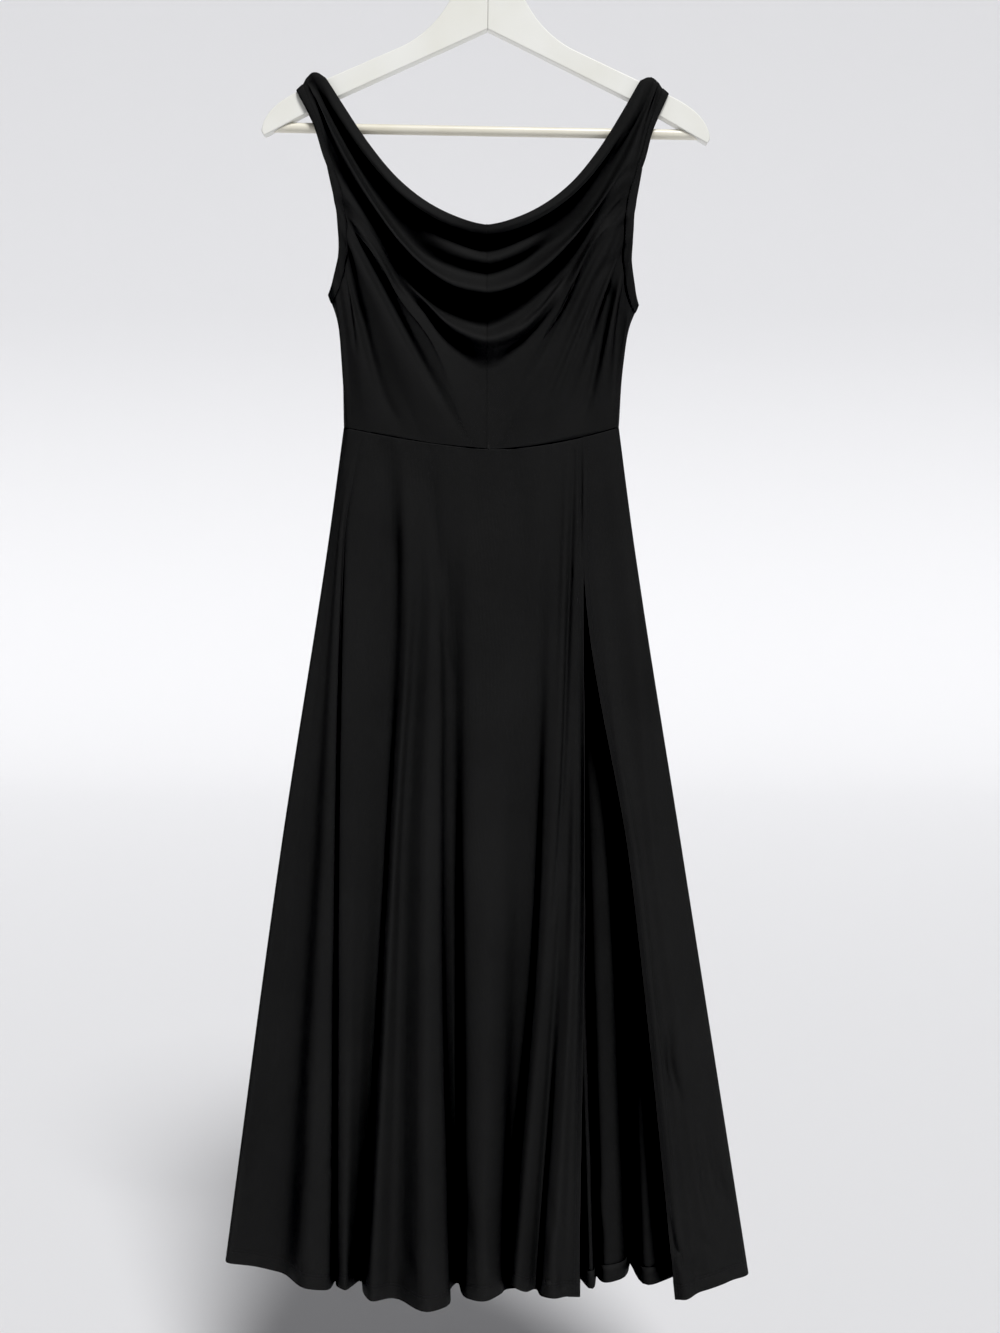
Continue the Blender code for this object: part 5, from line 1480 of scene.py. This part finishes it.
def binding_row(sections):
    """The row of stitches down the front of one binding and up its back."""
    inner, beside = sections[:, 0], sections[:, 1]
    path = lerp(inner, beside, STITCHED_AT)
    outs = np.cross(beside - inner, np.gradient(inner, axis=0))
    outs /= np.maximum(np.linalg.norm(outs, axis=1, keepdims=True), 1e-9)
    if outs[len(outs) // 5, 1] > 0:
        outs = -outs
    keep = np.concatenate([[True], np.linalg.norm(np.diff(path, axis=0), axis=1) > SAME_SPOT])
    return path[keep], outs[keep]


hem_front = stitch_piece("hem_stitches_front", hem_rows("front") + [slit_row("front", True)])
hem_side = stitch_piece("hem_stitches_side_front", hem_rows("side") + [slit_row("side", False)])
hem_back = stitch_piece("hem_stitches_back", hem_rows("back"))
stitches_left = stitch_piece("binding_stitches_left", [binding_row(sections_left)])
stitches_right = stitch_piece("binding_stitches_right", [binding_row(sections_right)])

# %% [markdown]
# ## White painted wood
#
# The hanger's arms are beech under white satin paint. Such paint flows over the grain and only
# hints at it, so the finish is nearly even, with long faint lines along the arm and a slightly
# warmer tone where the film is thin. The bar is a turned dowel with a glossier, creamier coat,
# and the hook is steel wire, drawn, bent and plated with nickel.


# %% Hanger finishes
def painted_finish(name, light_hex, warm_hex, roughness, stretch):
    """Paint over wood. stretch squeezes the noise across the grain."""
    made, tree, shader = start_material(name, light_hex, roughness)
    shader.inputs["Coat Weight"].default_value = 0.12
    shader.inputs["Coat Roughness"].default_value = 0.3
    place = add_node(tree, "ShaderNodeTexCoord").outputs["Object"]
    along = add_node(tree, "ShaderNodeMapping", None, {0: place, 3: stretch}).outputs[0]
    grain = noise(tree, along, scale=60.0, detail=5.0)
    warmth = remap(tree, noise(tree, place, scale=14.0), 0.35, 0.7, 0.0, 0.8)
    tree.links.new(blend(tree, warmth, light_hex, warm_hex), shader.inputs["Base Color"])
    rough = remap(tree, grain, 0.3, 0.7, roughness - 0.05, roughness + 0.07)
    tree.links.new(rough, shader.inputs["Roughness"])
    tree.links.new(relief(tree, grain, strength=0.3, distance=0.0003), shader.inputs["Normal"])
    return made


arm_paint = painted_finish("white_satin_paint_on_beech", "#F1F1EC", "#E9E8DF", 0.42, (0.12, 1.0, 1.0))
bar_paint = painted_finish("cream_gloss_paint_on_dowel", "#EFEBDD", "#E4DECB", 0.26, (0.06, 1.0, 1.0))
nickel, nickel_tree, nickel_shader = start_material("nickel_plated_steel_wire", "#C3C2BE", 0.2, 1.0)
wire_place = add_node(nickel_tree, "ShaderNodeTexCoord").outputs["Object"]
draw_marks = noise(nickel_tree, wire_place, scale=420.0)
nickel_tree.links.new(remap(nickel_tree, draw_marks, 0, 1, 0.14, 0.27), nickel_shader.inputs["Roughness"])
print("hanger finishes:", arm_paint.name, bar_paint.name, nickel.name)

# %% [markdown]
# ## The hanger
#
# Each arm is sawn from flat board and its edges are rounded over with a small cutter. It is
# modelled the same way: one point is extruded round the outline, the outline is filled and
# extruded to the board's thickness, and a bevel rounds the edges. The second arm is its mirror
# image.

# %% Hanger helpers
ARM_THICKNESS = 14.0
ARM_EDGE = 1.2
JOINT_GAP = 0.3
NECK_TOP_Z, NECK_HALF, NECK_CORNER = -66.0, 30.0, 8.0
ARM_TIP, TIP_BOTTOM = (221.5, -231.0), (219.0, -235.5)
ELBOW, APEX_Z = (150.0, -198.6), -129.4
#   how far the curves' handles reach: at the neck's corner, below it, where the shoulder's straight
#   part starts, where it ends, and at the tip
CORNER_REACH, NECK_REACH, ROOT_REACH, END_REACH, TIP_REACH = 3.6, 30, 31, 22, (-2, 20)


def bent(a, b, c, d, count):
    """Points of a Bezier curve after its first."""
    t = (np.arange(1, count + 1) / count)[:, None]
    a, b, c, d = (np.array(p, float) for p in (a, b, c, d))
    s = 1 - t
    return (a * s**3 + b * 3 * s * s * t + c * 3 * s * t * t + d * t**3).tolist()


def arm_outline():
    """The right arm seen from the front, as (x, z), from the top of the joint round."""
    root, end, tip = np.array(SHOULDER_ROOT), np.array(SHOULDER_END), np.array(ARM_TIP)
    slope = (end - root) / np.linalg.norm(end - root)
    corner, waist = (NECK_HALF - NECK_CORNER, NECK_TOP_Z), (NECK_HALF, NECK_TOP_Z - NECK_CORNER)
    outline = [(JOINT_GAP / 2, NECK_TOP_Z), corner]
    over, up = (corner[0] + CORNER_REACH, corner[1]), (waist[0], waist[1] + CORNER_REACH)
    outline += bent(corner, over, up, waist, 6)
    outline += bent(waist, (waist[0], waist[1] - NECK_REACH), root - slope * ROOT_REACH, root, 18)
    outline.append(tuple(end))
    outline += bent(end, end + slope * END_REACH, tip + np.array(TIP_REACH), tip, 14)
    return outline + [TIP_BOTTOM, ELBOW, (JOINT_GAP / 2, APEX_Z)]


def settle(piece, name, finish):
    """Names a modelled piece, puts its place in its mesh and gives it its finish."""
    only(piece)
    bpy.ops.object.transform_apply(location=True, rotation=True, scale=True)
    piece.name = piece.data.name = name
    piece.data.materials.clear()
    piece.data.materials.append(finish)
    return piece


def tilt_with_hanger(piece):
    """Turns a piece with the whole hanger, whose right end hangs a little low."""
    only(piece)
    piece.rotation_euler = (0, HANGER_TILT, 0)
    bpy.ops.object.transform_apply(location=True, rotation=True, scale=True)


print("an arm's outline has", len(arm_outline()), "points")


# %% Hanger arms
def arm_piece(name, side):
    """One arm, extruded point by point round its outline."""
    outline = [(side * x * MM, z * MM) for x, z in arm_outline()]
    front = -ARM_THICKNESS / 2 * MM
    bpy.ops.object.select_all(action="DESELECT")
    bpy.ops.mesh.primitive_plane_add(size=MM, location=(outline[0][0], front, outline[0][1]))
    arm = bpy.context.object
    bpy.ops.object.transform_apply(location=True, rotation=True, scale=True)
    bpy.ops.object.mode_set(mode="EDIT")
    bpy.ops.mesh.merge(type="CENTER")
    for (x0, z0), (x1, z1) in zip(outline, outline[1:]):
        step = {"value": (x1 - x0, 0, z1 - z0)}
        bpy.ops.mesh.extrude_vertices_move(TRANSFORM_OT_translate=step)
    bpy.ops.mesh.select_all(action="SELECT")
    bpy.ops.mesh.edge_face_add()
    depth = {"value": (0, ARM_THICKNESS * MM, 0)}
    bpy.ops.mesh.extrude_region_move(TRANSFORM_OT_translate=depth)
    bpy.ops.object.mode_set(mode="OBJECT")
    turn_faces_out(arm)
    rounded = arm.modifiers.new("rounded edges", "BEVEL")
    rounded.width = ARM_EDGE * MM
    rounded.segments = 4
    rounded.limit_method = "ANGLE"
    rounded.angle_limit = math.radians(50)
    rounded.harden_normals = True
    bpy.ops.object.shade_smooth_by_angle(angle=math.radians(40))
    bpy.ops.object.modifier_apply(modifier=rounded.name)
    settle(arm, name, arm_paint)
    tilt_with_hanger(arm)
    print(f"{name}: {len(arm.data.polygons)} faces")
    return arm


arm_left = arm_piece("hanger_left_arm", -1)
arm_right = arm_piece("hanger_right_arm", 1)
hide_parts("hanger_arm_left")
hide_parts("hanger_arm_right")

# %% [markdown]
# ### The trouser bar
#
# The bar starts as a cylinder that is too long, and its ends are cut off along the undersides of
# the arms.

# %% Trouser bar
BAR_RADIUS, BAR_Z = 5.0, -226.0
BAR_BLANK = 420.0
BAR_CLEAR = 0.66
bpy.ops.object.select_all(action="DESELECT")
bpy.ops.mesh.primitive_cylinder_add(
    vertices=48,
    radius=BAR_RADIUS * MM,
    depth=BAR_BLANK * MM,
    location=(0, 0, BAR_Z * MM),
    rotation=(0, math.pi / 2, 0),
)
bar = bpy.context.object
bpy.ops.object.transform_apply(location=True, rotation=True, scale=True)
bpy.ops.object.mode_set(mode="EDIT")
underside = np.array(TIP_BOTTOM) - np.array(ELBOW)
underside = underside / np.linalg.norm(underside)
for side in (-1, 1):
    bpy.ops.mesh.select_all(action="SELECT")
    cut_at = (side * (ELBOW[0] - BAR_CLEAR) * MM, 0, ELBOW[1] * MM)
    outwards = (-side * underside[1], 0, underside[0])
    bpy.ops.mesh.bisect(plane_co=cut_at, plane_no=outwards, use_fill=True, clear_outer=True)
bpy.ops.object.mode_set(mode="OBJECT")
turn_faces_out(bar)
bpy.ops.object.shade_smooth_by_angle(angle=math.radians(40))
settle(bar, "turned_trouser_bar", bar_paint)
tilt_with_hanger(bar)
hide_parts("trouser_bar")
bar_ends = [corner.co.x / MM for corner in bar.data.vertices]
print("bar reaches from", round(min(bar_ends), 1), "to", round(max(bar_ends), 1))

# %% [markdown]
# ### The hook
#
# The hook is one length of wire with a small collar where it enters the wood. A circle is
# extruded up from the collar, turned a little at every step as the wire leaves the straight, and
# its end is rounded off so that it doesn't catch on clothes.

# %% Hook
HOOK_WIRE, HOOK_BEND, HOOK_COLLAR = 1.9, 21.0, 4.5
HOOK_FROM, HOOK_TO = math.radians(-52), math.radians(196)
#   where the stem leaves the collar, and the handles' reach in the bend from there to the hook
HOOK_STEM, STEM_REACH, BEND_REACH = 9.0, 8, 9
#   height above the collar's foot and radius, then distance past the wire's end and radius
COLLAR_STEPS = ((0, 4.2), (0.4, HOOK_COLLAR), (1.6, HOOK_COLLAR), (2.2, 3.6), (2.4, HOOK_WIRE))
TIP_STEPS = ((0.9, 1.65), (1.5, 1.15), (1.8, 0.5))


def hook_line():
    """The wire's centre line above its collar, as (x, z)."""
    centre_z = HOOK_WIRE - HOOK_BEND
    low = (0.0, NECK_TOP_Z + JOINT_GAP + HOOK_STEM)
    angles = np.linspace(HOOK_FROM, HOOK_TO, 49)
    arc = [(HOOK_BEND * math.cos(a), centre_z + HOOK_BEND * math.sin(a)) for a in angles]
    away = (math.sin(HOOK_FROM) * BEND_REACH, -math.cos(HOOK_FROM) * BEND_REACH)
    start = (arc[0][0] + away[0], arc[0][1] + away[1])
    return [low] + bent(low, (0, low[1] + STEM_REACH), start, arc[0], 14) + arc[1:]


foot_z = NECK_TOP_Z + JOINT_GAP
stations = [(0.0, foot_z + rise, radius) for rise, radius in COLLAR_STEPS]
stations += [(x, z, HOOK_WIRE) for x, z in hook_line()]
wire_end = np.array(stations[-1][:2])
tip_way = wire_end - np.array(stations[-2][:2])
tip_way /= np.linalg.norm(tip_way)
stations += [(*(wire_end + tip_way * past), radius) for past, radius in TIP_STEPS]
bpy.ops.object.select_all(action="DESELECT")
bpy.ops.mesh.primitive_circle_add(
    vertices=20, radius=stations[0][2] * MM, fill_type="NGON", location=(0, 0, stations[0][1] * MM)
)
hook = bpy.context.object
bpy.ops.object.transform_apply(location=True, rotation=True, scale=True)
bpy.ops.object.mode_set(mode="EDIT")
bpy.ops.mesh.select_all(action="SELECT")
heading = 0.0
for i in range(1, len(stations)):
    (x0, z0, r0), (x1, z1, r1) = stations[i - 1], stations[i]
    x2, z2, _ = stations[min(i + 1, len(stations) - 1)]
    new_heading = math.atan2(x2 - x0, z2 - z0)
    step = {"value": ((x1 - x0) * MM, 0, (z1 - z0) * MM)}
    bpy.ops.mesh.extrude_region_move(TRANSFORM_OT_translate=step)
    spot = (x1 * MM, 0, z1 * MM)
    turn = math.remainder(new_heading - heading, math.tau)
    bpy.ops.transform.rotate(value=-turn, orient_axis="Y", orient_type="GLOBAL", center_override=spot)
    bpy.ops.transform.resize(value=(r1 / r0,) * 3, center_override=spot)
    heading = new_heading
bpy.ops.object.mode_set(mode="OBJECT")
turn_faces_out(hook)
bpy.ops.object.shade_smooth_by_angle(angle=math.radians(45))
settle(hook, "bent_wire_hook", nickel)
tilt_with_hanger(hook)
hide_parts("hanger_hook")
hook_corners = np.array([tuple(corner.co) for corner in hook.data.vertices]) / MM
print("hook from", hook_corners.min(0).round(1), "to", hook_corners.max(0).round(1))

# %% [markdown]
# ## What rides on what, and how each piece of cloth was cut
#
# Nothing here moves on its own: cloth and hanger are one body. A table lists, for each sheet, the flat piece
# that it was cut from and what it hangs on.

# %% Riding and cutting sizes
#   piece: width and length of the flat cut, its area, what it hangs from, what goes with it
CUTS = {
    skirt_front: ((0.70, 0.91), 0.385, ["bodice_front_left", "bodice_front_right"], [hem_front]),
    skirt_side: ((0.12, 0.92), 0.077, ["bodice_front_right"], [hem_side]),
    skirt_back: ((0.80, 0.91), 0.449, ["bodice_back"], [hem_back]),
    bodice_left: ((0.32, 0.41), 0.052, ["hanger_arm_left"], []),
    bodice_right: ((0.31, 0.40), 0.049, ["hanger_arm_right"], []),
    bodice_back: ((0.42, 0.36), 0.084, ["hanger_arm_left", "hanger_arm_right"], []),
    binding_left: ((0.019, 0.49), 0.0093, ["bodice_front_left", "bodice_back"], [stitches_left]),
    binding_right: ((0.019, 0.49), 0.0093, ["bodice_front_right", "bodice_back"], [stitches_right]),
}
HANGER_SLOTS = {arm_left: "painted_wood", arm_right: "painted_wood", bar: "painted_dowel", hook: "hook_wire"}
for piece, (flat, area, rests_on, trims) in CUTS.items():
    slot = "binding" if piece in (binding_left, binding_right) else "jersey"
    for part in (piece, *trims):
        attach(part, "root")
for piece, slot in HANGER_SLOTS.items():
    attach(piece, "root")
print(len(CUTS), "sheets of cloth")

# %% [markdown]
# ## Backdrop and light
#
# A photographer would hang the dress in front of a pale sweep: one sheet that runs along the
# floor and curves up behind, so that no edge crosses the picture. One broad light comes from
# the front and above, like a tall window. It lights what faces up and forward, leaves the
# undersides of the cowl and the sides of the folds dark, and makes black cloth readable. A dim
# pale world keeps those shades from going quite black.

# %% Sweep and lights
FLOOR_Z = -1.62
SWEEP_FRONT, SWEEP_BACK, SWEEP_TOP, SWEEP_BEND, SWEEP_WIDE = -9.0, 6.5, 6.0, 2.0, 18.0
SWEEP_STEPS = 16
sweep_points = [(SWEEP_FRONT, FLOOR_Z)]
for step in range(SWEEP_STEPS + 1):
    bend = step / SWEEP_STEPS * math.pi / 2
    forward = SWEEP_BACK - SWEEP_BEND + SWEEP_BEND * math.sin(bend)
    sweep_points.append((forward, FLOOR_Z + SWEEP_BEND * (1 - math.cos(bend))))
sweep_points.append((SWEEP_BACK, SWEEP_TOP))
sweep_corners = [(side * SWEEP_WIDE / 2, y, z) for y, z in sweep_points for side in (-1, 1)]
sweep_faces = [(i, i + 1, i + 3, i + 2) for i in range(0, len(sweep_corners) - 2, 2)]
sweep_mesh = bpy.data.meshes.new("pale_sweep")
sweep_mesh.from_pydata(sweep_corners, [], sweep_faces)
sweep_mesh.shade_smooth()
sweep_mesh.materials.append(start_material("pale_paper_sweep", "#E5E5E7", 0.85, specular=0.2)[0])
sweep = bpy.data.objects.new("pale_sweep", sweep_mesh)
bpy.context.scene.collection.objects.link(sweep)

WORLD_STRENGTH, WINDOW_STRENGTH = 0.15, 2.95
WINDOW_DOWN, WINDOW_ASIDE, WINDOW_SOFTNESS = math.radians(51), math.radians(17), math.radians(18)
BLACK_POINT = 0.0145
world = bpy.data.worlds.new("studio")
world.use_nodes = True
world.node_tree.nodes["Background"].inputs["Color"].default_value = linear("#F7F7F8")
world.node_tree.nodes["Background"].inputs["Strength"].default_value = WORLD_STRENGTH
bpy.context.scene.world = world
view = bpy.context.scene.view_settings
view.view_transform = "Standard"
view.use_curve_mapping = True
view.curve_mapping.black_level = (BLACK_POINT,) * 3
view.curve_mapping.update()
window_data = bpy.data.lights.new("tall_window", "SUN")
window_data.energy = WINDOW_STRENGTH
window_data.angle = WINDOW_SOFTNESS
window = bpy.data.objects.new("tall_window", window_data)
window.rotation_euler = (math.pi / 2 - WINDOW_DOWN, 0, WINDOW_ASIDE)
bpy.context.scene.collection.objects.link(window)
print("one broad light, tilted down by", round(math.degrees(WINDOW_DOWN)), "degrees")
